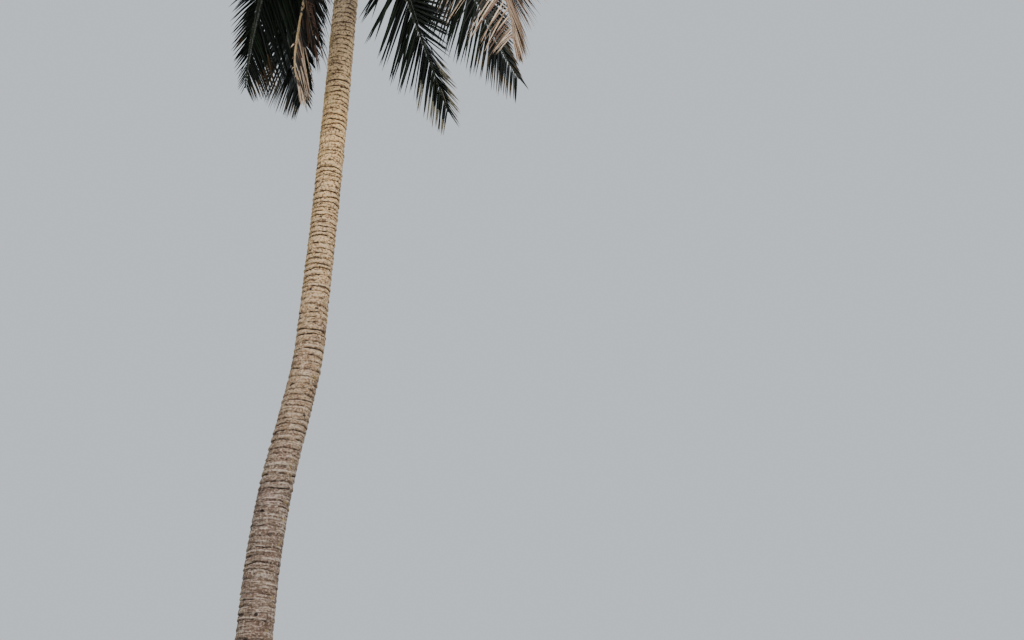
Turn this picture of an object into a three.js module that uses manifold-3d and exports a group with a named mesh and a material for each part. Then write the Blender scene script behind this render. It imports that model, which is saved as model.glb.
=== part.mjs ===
// A coconut palm: a leaning ringed trunk, a heart of leaf bases, a spear leaf and a crown of fronds.
// The origin is the centre of the flat cut at ground level, +Z is up and lengths are millimetres.
// Seen along +Y, +X is to the right. Azimuths are degrees, from +X towards +Y.

import * as THREE from 'three';
import Module from 'manifold-3d';

const wasm = await Module();
wasm.setup();

// Clear gap between solids that meet on the real palm
const CLEARANCE = 0.3;

// Trunk centre line: height, x and y of the places where its bends begin and end
const TRUNK_LINE = [
  [0, 0, 0],
  [1500, 8, 28],
  [3000, 24, 70],
  [4000, 42, 104],
  [4600, 64, 134],
  [5200, 117, 197],
  [5800, 202, 286],
  [6350, 274, 358],
  [6900, 293, 414],
  [7800, 325, 469],
  [9000, 361, 507],
  [10300, 398, 515],
  [11740, 472, 514],
];
// Trunk radius at heights up the trunk, above the swollen foot
const TRUNK_RADII = [
  [0, 152],
  [3900, 142],
  [5400, 133],
  [6300, 126],
  [7500, 118],
  [9000, 115],
  [11740, 110],
];
const FOOT_FLARE = 98;
const FOOT_FLARE_HEIGHT = 420;
const FOOT_LOBES = 7;
const FOOT_LOBE_DEPTH = 12;
const FOOT_FLARE_EDGE = 1.3;
const TRUNK_SIDES = 18;
const TRUNK_RINGS = 30;
const RING_CROWDING = 1.35;

// Heart of leaf bases: height above the trunk's top and radius
const HEART_PROFILE = [
  [0, 104],
  [90, 138],
  [330, 168],
  [640, 150],
  [930, 104],
  [1160, 58],
];
const HEART_SIDES = 16;

// Unopened spear leaf, out of the top of the heart: share of its length and share of its radius
const SPEAR_LENGTH = 2250;
const SPEAR_RADIUS = 38;
const SPEAR_LEAN = 4;
const SPEAR_SIDES = 8;
const SPEAR_STAGES = [
  [0, 0.9],
  [0.3, 1],
  [0.62, 0.72],
  [0.86, 0.4],
  [1, 0.12],
];

// Frond rib: width and depth where it leaves the heart, at the first leaflets and at the tip
const RIB_WIDTHS = [128, 58, 12];
const RIB_DEPTHS = [46, 34, 13];
const STALK_TAPER = 0.6;
const BARE_STALK = 0.22;
const STALK_STEPS = 4;
const LINE_STEPS = 48;
// Distance from the heart's middle at which a rib starts, sunk into the heart
const ROOT_REACH = 70;
// Share of the length by which a frond has all its twist
const TWIST_DONE = 0.7;
// A frond whose slope turns by more degrees than this is two nodes, parted at the bend
const SPLIT_TURN = 45;
const SPLIT_SHARE = 0.36;

// Leaflets, each tooth of the blade standing for a spray of them
const TOOTH_PITCH = 178;
const LEAFLET_LENGTH = 880;
const LEAFLET_START = 0.5;
const LEAFLET_FULL = 0.4;
const LEAFLET_END = 0.34;
const LEAFLET_TAPER = 1.4;
const LEAFLET_ANGLES = [74, 38];
// Weight of the droop on the inner and outer half of a leaflet
const DROOP_WEIGHTS = [0.53, 0.67];
const TOOTH_WIDTH = 0.78;
const TOOTH_THICKNESS = 0.016;
const TOOTH_LEAST_THICKNESS = 8;
const TOOTH_GAP = 4;
// Overlap in cubic millimetres below which two neighbouring teeth only share an edge
const SHARED_EDGE = 1;
const TOOTH_SCALES = [1, 0.82, 0.64, 0.46];

// Spiral of the young and middle fronds, from the youngest to the lowest that still spreads
const GOLDEN_ANGLE = 137.5;
const SPIRAL_COUNT = 18;
const SPIRAL_TOP = 820;
const SPIRAL_BOTTOM = 400;
const SPIRAL_RISE = [83, 14];
const SPIRAL_RISE_EASE = 0.9;
const SPIRAL_BEND = [26, 82];
const SPIRAL_BEND_EASE = 0.8;
const SPIRAL_LENGTH = [2900, 4250];
// Ages, from 0 to 1, at which a frond has its full length and its full girth
const SPIRAL_LONG_BY = 0.556;
const SPIRAL_STOUT_BY = 0.5;
const SPIRAL_LEAST_GIRTH = 0.62;
const SPIRAL_EASE = 1.35;
const SPIRAL_FOLD = [28, 4];
const SPIRAL_DROOP = [0.15, 0.75];
// Sideways bow and twist, each a wave from one frond to the next: size, radians a frond and start
const SPIRAL_SWAY = 120;
const SPIRAL_SWAY_STEP = 2.4;
const SPIRAL_SWAY_START = 0.7;
const SPIRAL_TWIST = 26;
const SPIRAL_TWIST_STEP = 1.7;
// Degrees by which fronds on the far side rise more than those towards the viewer
const FAR_SIDE_LIFT = 50;

// Old fronds that hang round the trunk, with the height of their roots above the trunk's top.
// rise and fall are the rib's slopes at root and tip, sway is how far the tip swings aside, fold is
// how far the leaflets are raised above the rib's sides and droop is their fall at the first leaflets
// and at the tip. leaves are the leaflets' sizes on the left and right of the rib, seen from its root.
const HANGING_FRONDS = [
  { name: 'left', azimuth: 157.8, root: 240, rise: -7.4, fall: -81.4, ease: 3, length: 2838, sway: -127,
    power: 5, twist: 4.1, leaves: [0.983, 0.873], fold: -14.2, droop: [1.83, 0], end: 0.16 },
  { name: 'inner_left', azimuth: 124.9, root: 370, rise: 32.1, fall: -125, ease: 2, length: 3940, sway: 134,
    power: 3, twist: 66.3, leaves: [0.903, 0.889], fold: -5.8, droop: [1.305, 1.537] },
  { name: 'dead_left', azimuth: 204.5, root: 200, rise: -55.4, fall: -82.2, ease: 8, length: 3433, sway: 850,
    power: 5, twist: 49.1, leaves: [0.2, 0.85], fold: -6, droop: [1, 1.2], lost: [0.35, 0.66], dry: true },
  { name: 'behind', azimuth: 146.1, root: 446, rise: 60, fall: -100.9, ease: 4, length: 2755, sway: -124,
    power: 3, twist: -43.2, leaves: [0.55, 1.3], fold: -11, droop: [0, 0], girth: 0.72, dry: true },
  { name: 'middle', azimuth: 63.1, root: 240, rise: -63.2, fall: -64.1, ease: 14, length: 2701, sway: -376,
    power: 1.2, twist: 35.9, leaves: [0.889, 1.043], fold: -12.6, droop: [0, 0.084] },
  { name: 'right', azimuth: 65.3, root: 330, rise: 55.7, fall: -72.5, ease: 1.51, length: 3789, sway: -496,
    power: 3.66, twist: -16.3, leaves: [1.146, 0.75], fold: 21.4, droop: [0.015, 1.556] },
  { name: 'dry_right', azimuth: 343.3, root: 320, rise: -27.3, fall: -77, ease: 2, length: 3633, sway: -600,
    power: 7, twist: -142, leaves: [1.041, 0.813], fold: 20, droop: [0, 1.613], dry: true },
  { name: 'front_left', azimuth: 244, root: 310, rise: -4, fall: -86, ease: 2, length: 3350, sway: 150,
    power: 2, twist: 20, leaves: [1, 1], fold: -6, droop: [0.7, 1.3] },
  { name: 'front_right', azimuth: 288, root: 350, rise: 2, fall: -84, ease: 2, length: 3400, sway: -160,
    power: 2, twist: -25, leaves: [1, 1], fold: -6, droop: [0.7, 1.3] },
];
// What a frond has unless it says otherwise. lost is the stretch, in shares of the length, that has
// shed its leaflets, and end is the leaflets' size at the tip as a share of the longest.
const FROND_DEFAULTS = { girth: 1, leaves: [1, 1], lost: [1, 1], end: LEAFLET_END, dry: false };

const FINISHES = {
  bark: { color: 0x9c8468, roughness: 0.9, metalness: 0 },
  fibre: { color: 0x6b5236, roughness: 0.95, metalness: 0 },
  spear: { color: 0x8fa04a, roughness: 0.6, metalness: 0 },
  leaf: { color: 0x35461f, roughness: 0.55, metalness: 0 },
  dry: { color: 0xa9805a, roughness: 0.8, metalness: 0 },
};

const UP = new THREE.Vector3(0, 0, 1);
const mix = THREE.MathUtils.lerp;
const radians = THREE.MathUtils.degToRad;

// Value at x of the line through [x, value] pairs, with a smooth turn at each pair
function alongTable(table, x) {
  const last = table.length - 1;
  let i = 0;
  while (i < last - 1 && x > table[i + 1][0]) i++;
  const slope = (a, b) => (table[b][1] - table[a][1]) / (table[b][0] - table[a][0]);
  const [x0, y0] = table[i];
  const [x1, y1] = table[i + 1];
  const here = slope(i, i + 1);
  const start = i > 0 ? (slope(i - 1, i) + here) / 2 : here;
  const end = i < last - 1 ? (here + slope(i + 1, i + 2)) / 2 : here;
  const width = x1 - x0;
  const t = THREE.MathUtils.clamp((x - x0) / width, 0, 1);
  return y0 * (1 + 2 * t) * (1 - t) ** 2 + start * width * t * (1 - t) ** 2
    + y1 * t * t * (3 - 2 * t) - end * width * t * t * (1 - t);
}

// Mesh under construction: points and faces whose corners run anticlockwise seen from outside
class Shell {
  constructor() {
    this.points = [];
    this.triangles = [];
  }

  point(vector) {
    this.points.push(vector);
    return this.points.length - 1;
  }

  triangle(a, b, c) {
    this.triangles.push(a, b, c);
  }

  quad(a, b, c, d) {
    this.triangle(a, b, c);
    this.triangle(a, c, d);
  }

  loop(vectors) {
    return vectors.map((vector) => this.point(vector));
  }

  // Skin between two rings of the same count, the second further along the shape's own direction
  band(lower, upper) {
    lower.forEach((_, i) => {
      const j = (i + 1) % lower.length;
      this.quad(lower[i], lower[j], upper[j], upper[i]);
    });
  }

  fan(ring, apex, outward) {
    ring.forEach((_, i) => {
      const j = (i + 1) % ring.length;
      if (outward) this.triangle(ring[i], ring[j], apex);
      else this.triangle(ring[j], ring[i], apex);
    });
  }

  geometry() {
    const geometry = new THREE.BufferGeometry();
    const values = this.points.flatMap((p) => [p.x, p.y, p.z]);
    geometry.setAttribute('position', new THREE.Float32BufferAttribute(values, 3));
    geometry.setIndex([...this.triangles]);
    return geometry;
  }

  solid() {
    return solidOf(this.geometry());
  }
}

function solidOf(geometry) {
  const mesh = new wasm.Mesh({
    numProp: 3,
    vertProperties: new Float32Array(geometry.attributes.position.array),
    triVerts: new Uint32Array(geometry.index.array),
  });
  return new wasm.Manifold(mesh);
}

function geometryOf(solid) {
  const mesh = solid.getMesh();
  const geometry = new THREE.BufferGeometry();
  geometry.setAttribute('position', new THREE.BufferAttribute(mesh.vertProperties, 3));
  geometry.setIndex(new THREE.BufferAttribute(mesh.triVerts, 1));
  return geometry;
}

// Stack of rings round an upright line, closed by flat ends
function stackOfRings(rings) {
  const shell = new Shell();
  const loops = rings.map((ring) => shell.loop(ring));
  for (let i = 0; i + 1 < loops.length; i++) shell.band(loops[i], loops[i + 1]);
  const centre = (ring) => ring
    .reduce((sum, p) => sum.add(p), new THREE.Vector3())
    .divideScalar(ring.length);
  shell.fan(loops[0], shell.point(centre(rings[0])), false);
  shell.fan(loops.at(-1), shell.point(centre(rings.at(-1))), true);
  return shell;
}

const TRUNK_TOP = TRUNK_LINE.at(-1)[0];
const trunkX = (height) => alongTable(TRUNK_LINE.map(([z, x]) => [z, x]), height);
const trunkY = (height) => alongTable(TRUNK_LINE.map(([z, , y]) => [z, y]), height);
const HEART_CENTRE = new THREE.Vector2(trunkX(TRUNK_TOP), trunkY(TRUNK_TOP));

// Trunk radius at a height and angle: the taper, the swollen foot and its shallow lobes
function trunkRadius(height, angle) {
  const swell = Math.exp(-((height / FOOT_FLARE_HEIGHT) ** FOOT_FLARE_EDGE));
  const lobes = FOOT_LOBE_DEPTH * swell * Math.cos(FOOT_LOBES * angle);
  return alongTable(TRUNK_RADII, height) + FOOT_FLARE * swell + lobes;
}

function trunkShell() {
  const rings = [];
  for (let i = 0; i <= TRUNK_RINGS; i++) {
    const height = TRUNK_TOP * (i / TRUNK_RINGS) ** RING_CROWDING;
    const ring = [];
    for (let k = 0; k < TRUNK_SIDES; k++) {
      const angle = (2 * Math.PI * k) / TRUNK_SIDES;
      const radius = trunkRadius(height, angle);
      const x = trunkX(height) + radius * Math.cos(angle);
      const y = trunkY(height) + radius * Math.sin(angle);
      ring.push(new THREE.Vector3(x, y, height));
    }
    rings.push(ring);
  }
  return stackOfRings(rings);
}

// Heart of leaf bases, or the space that it fills when it is grown by a gap all round
function heartShell(growth = 0) {
  const rings = HEART_PROFILE.map(([rise, radius], level) => {
    const ring = [];
    for (let k = 0; k < HEART_SIDES; k++) {
      const angle = (2 * Math.PI * (k + level / 2)) / HEART_SIDES;
      const x = HEART_CENTRE.x + (radius + growth) * Math.cos(angle);
      const y = HEART_CENTRE.y + (radius + growth) * Math.sin(angle);
      const end = level === 0 ? -growth : level === HEART_PROFILE.length - 1 ? growth : 0;
      ring.push(new THREE.Vector3(x, y, TRUNK_TOP + CLEARANCE + rise + end));
    }
    return ring;
  });
  return stackOfRings(rings);
}

// Spear leaf: a folded, unopened frond, thickest a third of the way up
function spearShell() {
  const foot = new THREE.Vector3(
    HEART_CENTRE.x,
    HEART_CENTRE.y,
    TRUNK_TOP + HEART_PROFILE.at(-1)[0] + 2 * CLEARANCE,
  );
  const lean = Math.tan(radians(SPEAR_LEAN));
  const rings = SPEAR_STAGES.map(([share, girth]) => {
    const ring = [];
    for (let k = 0; k < SPEAR_SIDES; k++) {
      const angle = (2 * Math.PI * k) / SPEAR_SIDES;
      const rise = SPEAR_LENGTH * share;
      ring.push(foot.clone().add(new THREE.Vector3(
        SPEAR_RADIUS * girth * Math.cos(angle) - lean * rise * share,
        SPEAR_RADIUS * girth * Math.sin(angle),
        rise,
      )));
    }
    return ring;
  });
  return stackOfRings(rings);
}

// Places and directions along a frond's rib: its slope eases from rise to fall and it sways aside
class RibLine {
  constructor(frond) {
    this.frond = frond;
    const azimuth = radians(frond.azimuth);
    const out = new THREE.Vector3(Math.cos(azimuth), Math.sin(azimuth), 0);
    this.aside = new THREE.Vector3(-Math.sin(azimuth), Math.cos(azimuth), 0);
    const points = [];
    let reach = ROOT_REACH;
    let height = TRUNK_TOP + frond.root;
    const step = frond.length / LINE_STEPS;
    for (let i = 0; i <= LINE_STEPS; i++) {
      const sway = frond.sway * (i / LINE_STEPS) ** frond.power;
      points.push(new THREE.Vector3(HEART_CENTRE.x, HEART_CENTRE.y, height)
        .addScaledVector(out, reach)
        .addScaledVector(this.aside, sway));
      const middle = (i + 0.5) / LINE_STEPS;
      const slope = radians(mix(frond.rise, frond.fall, 1 - (1 - Math.min(middle, 1)) ** frond.ease));
      reach += Math.cos(slope) * step;
      height += Math.sin(slope) * step;
    }
    this.curve = new THREE.CatmullRomCurve3(points);
  }

  // Point, direction, left side and upper face at a share of the length
  at(share) {
    const t = THREE.MathUtils.clamp(share, 0, 1);
    const along = this.curve.getTangent(t);
    const side = this.aside.clone().addScaledVector(along, -this.aside.dot(along)).normalize();
    const turn = radians(this.frond.twist * Math.min(1, t / TWIST_DONE));
    side.applyAxisAngle(along, turn);
    const upper = new THREE.Vector3().crossVectors(along, side).normalize();
    return { point: this.curve.getPoint(t), along, side, upper };
  }
}

// Rib size at a share of the length, from the three named sections
function ribSize(sizes, share) {
  if (share < BARE_STALK) return mix(sizes[0], sizes[1], (share / BARE_STALK) ** STALK_TAPER);
  return mix(sizes[1], sizes[2], (share - BARE_STALK) / (1 - BARE_STALK));
}

// Leaflet length as a share of the longest, rising from the stalk and falling to the frond's end
function leafletProfile(share, end) {
  const t = (share - BARE_STALK) / (1 - BARE_STALK);
  if (t < LEAFLET_FULL) return mix(LEAFLET_START, 1, Math.sin((t / LEAFLET_FULL) * Math.PI / 2));
  return mix(1, end, ((t - LEAFLET_FULL) / (1 - LEAFLET_FULL)) ** LEAFLET_TAPER);
}

// One spray of leaflets: its middle and tip, leaving the rib and drooping with its own weight
function sprayLine(frond, frame, share, side, scale) {
  const t = (share - BARE_STALK) / (1 - BARE_STALK);
  const angle = radians(mix(LEAFLET_ANGLES[0], LEAFLET_ANGLES[1], t));
  const fold = radians(frond.fold);
  const size = frond.leaves[side > 0 ? 0 : 1] * scale;
  const length = LEAFLET_LENGTH * size * leafletProfile(share, frond.end);
  const droop = mix(...frond.droop, t);
  const start = frame.along.clone().multiplyScalar(Math.cos(angle))
    .addScaledVector(frame.side, side * Math.sin(angle) * Math.cos(fold))
    .addScaledVector(frame.upper, Math.sin(angle) * Math.sin(fold));
  const first = start.clone().addScaledVector(UP, -DROOP_WEIGHTS[0] * droop).normalize();
  const second = start.clone().addScaledVector(UP, -DROOP_WEIGHTS[1] * droop).normalize();
  const middle = frame.point.clone().addScaledVector(first, length / 2);
  const tip = middle.clone().addScaledVector(second, length / 2);
  return { length, first, middle, tip };
}

// Ring of four corners round the rib at a share of its length, moved on by a gap along it
function ribCorners(line, share, gap = 0) {
  const { point, along, side, upper } = line.at(share);
  const width = (line.frond.girth * ribSize(RIB_WIDTHS, share)) / 2;
  const depth = (line.frond.girth * ribSize(RIB_DEPTHS, share)) / 2;
  return [[1, 1], [1, -1], [-1, -1], [-1, 1]].map(([s, u]) => point.clone()
    .addScaledVector(along, gap)
    .addScaledVector(side, s * width)
    .addScaledVector(upper, u * depth));
}

// Skin of a tooth from its root's corners, front and back, upper and lower, to its tip
function toothFaces(shell, [upperBack, upperFront, lowerFront, lowerBack], spray, side) {
  const width = TOOTH_WIDTH * shell.points[upperBack].distanceTo(shell.points[upperFront]) / 2;
  const thickness = Math.max(TOOTH_LEAST_THICKNESS, TOOTH_THICKNESS * spray.length);
  const across = shell.points[upperFront].clone().sub(shell.points[upperBack]).normalize();
  const face = new THREE.Vector3().crossVectors(across, spray.first).multiplyScalar(side).normalize();
  const back = shell.point(spray.middle.clone().addScaledVector(across, -width)
    .addScaledVector(face, thickness / 3));
  const front = shell.point(spray.middle.clone().addScaledVector(across, width)
    .addScaledVector(face, thickness / 3));
  const lower = shell.point(spray.middle.clone().addScaledVector(face, -thickness * 2 / 3));
  const tip = shell.point(spray.tip);
  const add = (a, b, c) => (side > 0 ? shell.triangle(a, b, c) : shell.triangle(a, c, b));
  add(upperBack, upperFront, front);
  add(upperBack, front, back);
  add(upperFront, lowerFront, lower);
  add(upperFront, lower, front);
  add(lowerFront, lowerBack, lower);
  add(lowerBack, upperBack, back);
  add(lowerBack, back, lower);
  add(back, front, tip);
  add(front, lower, tip);
  add(lower, back, tip);
}

// Skin over a tooth's root: outwards on that side of a bare rib, inwards as the foot of a loose tooth
function rootFaces(shell, [a, b, c, d], facing) {
  if (facing > 0) {
    shell.triangle(a, b, c);
    shell.triangle(a, c, d);
  } else {
    shell.triangle(c, b, a);
    shell.triangle(d, c, a);
  }
}

// A tooth alone as a solid, for measuring how near it comes to the rest of the crown
function toothSolid(root, spray, side) {
  const shell = new Shell();
  const corners = shell.loop(root);
  toothFaces(shell, corners, spray, side);
  rootFaces(shell, corners, -side);
  return shell.solid();
}

// Corners of a tooth's root on the rib's side, between two rings
function toothRoot(ringBack, ringFront, side) {
  const [upper, lower] = side > 0 ? [0, 1] : [3, 2];
  return [ringBack[upper], ringFront[upper], ringFront[lower], ringBack[lower]];
}

// What is placed so far, with its box, so that only near things are measured
const placed = [];

function place(owner, solid) {
  const { min, max } = solid.boundingBox();
  placed.push({ owner, solid, min, max });
}

function near(entry, min, max) {
  return [0, 1, 2].every((axis) => entry.min[axis] < max[axis] + TOOTH_GAP
    && entry.max[axis] > min[axis] - TOOTH_GAP);
}

function isClear(owner, solid) {
  const { min, max } = solid.boundingBox();
  return placed.every((entry) => {
    if (!near(entry, min, max)) return true;
    if (entry.owner === owner) return entry.solid.intersect(solid).volume() < SHARED_EDGE;
    return entry.solid.minGap(solid, TOOTH_GAP) >= TOOTH_GAP;
  });
}

// Shares of the length at which a frond has rings: the bare stalk, then one for each tooth
function ringShares(frond) {
  const shares = [];
  for (let i = 0; i < STALK_STEPS; i++) shares.push((BARE_STALK * i) / STALK_STEPS);
  const teeth = Math.round((frond.length * (1 - BARE_STALK)) / TOOTH_PITCH);
  for (let i = 0; i <= teeth; i++) shares.push(mix(BARE_STALK, 1, i / teeth));
  return shares;
}

// Chooses each tooth's length so that it clears what is placed, and leaves out those that can't
function chooseTeeth(frond, line, shares) {
  const teeth = [];
  for (let i = STALK_STEPS; i + 1 < shares.length; i++) {
    const share = (shares[i] + shares[i + 1]) / 2;
    if (share > frond.lost[0] && share < frond.lost[1]) continue;
    for (const side of [1, -1]) {
      const back = ribCorners(line, shares[i]);
      const front = ribCorners(line, shares[i + 1]);
      const root = toothRoot(back, front, side);
      for (const scale of TOOTH_SCALES) {
        const spray = sprayLine(frond, line.at(share), share, side, scale);
        const solid = toothSolid(root, spray, side);
        if (isClear(frond.node, solid)) {
          place(frond.node, solid);
          teeth.push({ ring: i, side, spray });
          break;
        }
      }
    }
  }
  return teeth;
}

// Frond blade from one ring to another: the rib with its teeth, closed at both ends
function frondShell(line, shares, teeth, first, last, gap) {
  const shell = new Shell();
  const rings = [];
  for (let i = first; i <= last; i++) {
    rings.push(shell.loop(ribCorners(line, shares[i], i === first ? gap : 0)));
  }
  for (let i = first; i < last; i++) {
    const back = rings[i - first];
    const front = rings[i - first + 1];
    shell.quad(back[3], front[3], front[0], back[0]);
    shell.quad(back[1], front[1], front[2], back[2]);
    for (const side of [1, -1]) {
      const root = toothRoot(back, front, side);
      const tooth = teeth.find((entry) => entry.ring === i && entry.side === side);
      if (tooth) toothFaces(shell, root, tooth.spray, side);
      else rootFaces(shell, root, side);
    }
  }
  const [start, end] = [rings[0], rings.at(-1)];
  shell.quad(start[0], start[1], start[2], start[3]);
  shell.quad(end[3], end[2], end[1], end[0]);
  return shell;
}

// Fronds of the spiral, each turned on by the golden angle from the one above it
function spiralFronds() {
  const fronds = [];
  for (let i = 0; i < SPIRAL_COUNT; i++) {
    const age = i / (SPIRAL_COUNT - 1);
    const azimuth = (i * GOLDEN_ANGLE) % 360;
    const lift = (FAR_SIDE_LIFT * age * (1 + Math.sin(radians(azimuth)))) / 2;
    const rise = mix(...SPIRAL_RISE, age ** SPIRAL_RISE_EASE) + lift;
    const droop = mix(...SPIRAL_DROOP, age);
    fronds.push({
      name: String(i + 1).padStart(2, '0'),
      azimuth,
      root: mix(SPIRAL_TOP, SPIRAL_BOTTOM, age),
      rise,
      fall: rise - mix(...SPIRAL_BEND, age ** SPIRAL_BEND_EASE),
      length: mix(...SPIRAL_LENGTH, Math.min(1, age / SPIRAL_LONG_BY)),
      girth: mix(SPIRAL_LEAST_GIRTH, 1, Math.min(1, age / SPIRAL_STOUT_BY)),
      sway: SPIRAL_SWAY * Math.sin(SPIRAL_SWAY_STEP * i + SPIRAL_SWAY_START),
      power: 2,
      twist: SPIRAL_TWIST * Math.sin(SPIRAL_TWIST_STEP * i),
      ease: SPIRAL_EASE,
      fold: mix(...SPIRAL_FOLD, age),
      droop: [droop, droop],
    });
  }
  return fronds;
}

function finish(name) {
  return new THREE.MeshStandardMaterial(FINISHES[name]);
}

function namedMesh(name, geometry, finishName) {
  const mesh = new THREE.Mesh(geometry, finish(finishName));
  mesh.name = name;
  return mesh;
}

function buildFrond(frond, heartSpace) {
  const { line, shares, teeth } = frond;
  const last = shares.length - 1;
  const colour = frond.dry ? 'dry' : 'leaf';
  const bend = STALK_STEPS + Math.round((last - STALK_STEPS) * SPLIT_SHARE);
  const pieces = frond.rise - frond.fall > SPLIT_TURN
    ? [[`${frond.node}_inner`, 0, bend, 0], [`${frond.node}_outer`, bend, last, CLEARANCE]]
    : [[frond.node, 0, last, 0]];
  return pieces.map(([name, from, to, gap]) => {
    const shell = frondShell(line, shares, teeth, from, to, gap);
    const geometry = from === 0 ? geometryOf(shell.solid().subtract(heartSpace)) : shell.geometry();
    return namedMesh(name, geometry, colour);
  });
}

function buildPalm() {
  const palm = new THREE.Group();
  palm.name = 'coconut_palm';
  const trunk = trunkShell();
  const heart = heartShell();
  const spear = spearShell();
  palm.add(namedMesh('trunk', trunk.geometry(), 'bark'));
  palm.add(namedMesh('crown_heart', heart.geometry(), 'fibre'));
  palm.add(namedMesh('spear_leaf', spear.geometry(), 'spear'));
  place('trunk', trunk.solid());
  place('crown_heart', heart.solid());
  place('spear_leaf', spear.solid());

  const fronds = [...HANGING_FRONDS, ...spiralFronds()].map((frond) => {
    const whole = { ...FROND_DEFAULTS, ...frond, node: `frond_${frond.name}` };
    whole.line = new RibLine(whole);
    whole.shares = ringShares(whole);
    return whole;
  });
  const heartSpace = heartShell(CLEARANCE).solid();
  for (const frond of fronds) {
    const bare = frondShell(frond.line, frond.shares, [], 0, frond.shares.length - 1, 0);
    place(frond.node, bare.solid().subtract(heartSpace));
  }
  for (const frond of fronds) frond.teeth = chooseTeeth(frond, frond.line, frond.shares);
  for (const frond of fronds) buildFrond(frond, heartSpace).forEach((mesh) => palm.add(mesh));
  return palm;
}

export default buildPalm();
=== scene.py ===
"""Looks of a coconut palm: ringed trunk, heart of leaf bases, spear leaf and a crown of feather fronds.

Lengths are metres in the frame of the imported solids: the origin is the middle of the flat cut at
ground level and +Z is up. Seen along +Y, +X is to the right. Azimuths run from +X towards +Y.
Slopes, twists, folds and azimuths are degrees.
"""

import logging
from collections.abc import Iterable, Sequence
from dataclasses import dataclass, field
from enum import Enum

import bmesh
import bpy
import numpy as np
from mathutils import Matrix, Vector, noise


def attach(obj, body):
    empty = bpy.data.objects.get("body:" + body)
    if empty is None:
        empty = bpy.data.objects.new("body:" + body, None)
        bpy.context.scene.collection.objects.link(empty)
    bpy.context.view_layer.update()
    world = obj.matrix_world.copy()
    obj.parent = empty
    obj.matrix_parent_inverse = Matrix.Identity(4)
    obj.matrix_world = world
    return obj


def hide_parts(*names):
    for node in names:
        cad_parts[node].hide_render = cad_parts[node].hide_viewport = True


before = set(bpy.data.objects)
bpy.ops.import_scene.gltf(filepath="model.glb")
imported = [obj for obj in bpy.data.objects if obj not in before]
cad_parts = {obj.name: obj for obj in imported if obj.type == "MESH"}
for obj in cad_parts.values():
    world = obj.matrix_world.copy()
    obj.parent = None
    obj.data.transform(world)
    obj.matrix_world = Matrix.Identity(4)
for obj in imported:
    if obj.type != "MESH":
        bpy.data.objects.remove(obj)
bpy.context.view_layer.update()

LOG = logging.getLogger("coconut palm")
BODY = "root"
UP = np.array([0.0, 0.0, 1.0])
Colour = tuple[float, float, float, float]

# Height, x and y of the places where the trunk's bends begin and end
TRUNK_LINE = (
    (0.0, 0.0, 0.0),
    (1.5, 0.008, 0.028),
    (3.0, 0.024, 0.070),
    (4.0, 0.042, 0.104),
    (4.6, 0.064, 0.134),
    (5.2, 0.117, 0.197),
    (5.8, 0.202, 0.286),
    (6.35, 0.274, 0.358),
    (6.9, 0.293, 0.414),
    (7.8, 0.325, 0.469),
    (9.0, 0.361, 0.507),
    (10.3, 0.398, 0.515),
    (11.74, 0.472, 0.514),
)
# Height and radius of the trunk above its swollen foot
TRUNK_RADII = (
    (0.0, 0.152),
    (3.9, 0.142),
    (5.4, 0.133),
    (6.3, 0.126),
    (7.5, 0.118),
    (9.0, 0.115),
    (11.74, 0.110),
)
TRUNK_TOP = TRUNK_LINE[-1][0]
HEART_CENTRE = np.array([TRUNK_LINE[-1][1], TRUNK_LINE[-1][2], 0.0])

# Share of a frond's rib that is a bare stalk
BARE_STALK = 0.22

# Weights of the parts of a random line, and how much it is raised to reach about 1
RIPPLE_WEIGHTS = (0.6, 1.0)
RIPPLE_RISE = 1.4

# Distance at which the points of a seam are joined
SEAM = 1e-7


def mix(start: float, end: float, share: float) -> float:
    """Returns the value at a share of the way from start to end."""
    return start + (end - start) * share


def ramp(value: np.ndarray, start: float, end: float) -> np.ndarray:
    """Returns how far a value is on its way from start to end, from 0 to 1."""
    return np.clip((value - start) / (end - start), 0, 1)


def unit(vectors: np.ndarray) -> np.ndarray:
    """Returns the vectors, each with its length brought to one."""
    return vectors / np.linalg.norm(vectors, axis=-1, keepdims=True)


def along_table(table: Sequence[Sequence[float]], column: int, places: np.ndarray) -> np.ndarray:
    """Reads a column of a table at any place, with a smooth turn at each row.

    Args:
        table: rows that start with their place.
        column: column to read.
        places: places to read it at.

    Returns:
        The values there.
    """
    knots = np.array([row[0] for row in table])
    values = np.array([row[column] for row in table])
    slopes = np.diff(values) / np.diff(knots)
    turns = np.concatenate([slopes[:1], (slopes[1:] + slopes[:-1]) / 2, slopes[-1:]])
    i = np.clip(np.searchsorted(knots, places, side="left") - 1, 0, len(knots) - 2)
    width = knots[i + 1] - knots[i]
    t = np.clip((places - knots[i]) / width, 0, 1)
    return (
        values[i] * (1 + 2 * t) * (1 - t) ** 2
        + turns[i] * width * t * (1 - t) ** 2
        + values[i + 1] * t * t * (3 - 2 * t)
        - turns[i + 1] * width * t * t * (1 - t)
    )


def ripple(rng: np.random.Generator, shares: np.ndarray, waves: Iterable[float]) -> np.ndarray:
    """Makes a smooth random line between about -1 and 1.

    Args:
        rng: source of its random draws.
        shares: places along the line, from 0 to 1.
        waves: how many waves each of its parts has over the whole line.

    Returns:
        The line's value at each place.
    """
    total = np.zeros_like(shares)
    weights = 0.0
    for count in waves:
        weight = rng.uniform(*RIPPLE_WEIGHTS)
        total += weight * np.sin(2 * np.pi * (count * shares + rng.uniform()))
        weights += weight
    return total / weights * RIPPLE_RISE


def surface_noise(points: np.ndarray, size: float) -> np.ndarray:
    """Reads a smooth noise at each point.

    Args:
        points: places to read it at.
        size: width of its bumps.

    Returns:
        Values between about -1 and 1.
    """
    return np.array([noise.noise(Vector(point)) for point in points.reshape(-1, 3) / size]).reshape(
        points.shape[:-1]
    )


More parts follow.
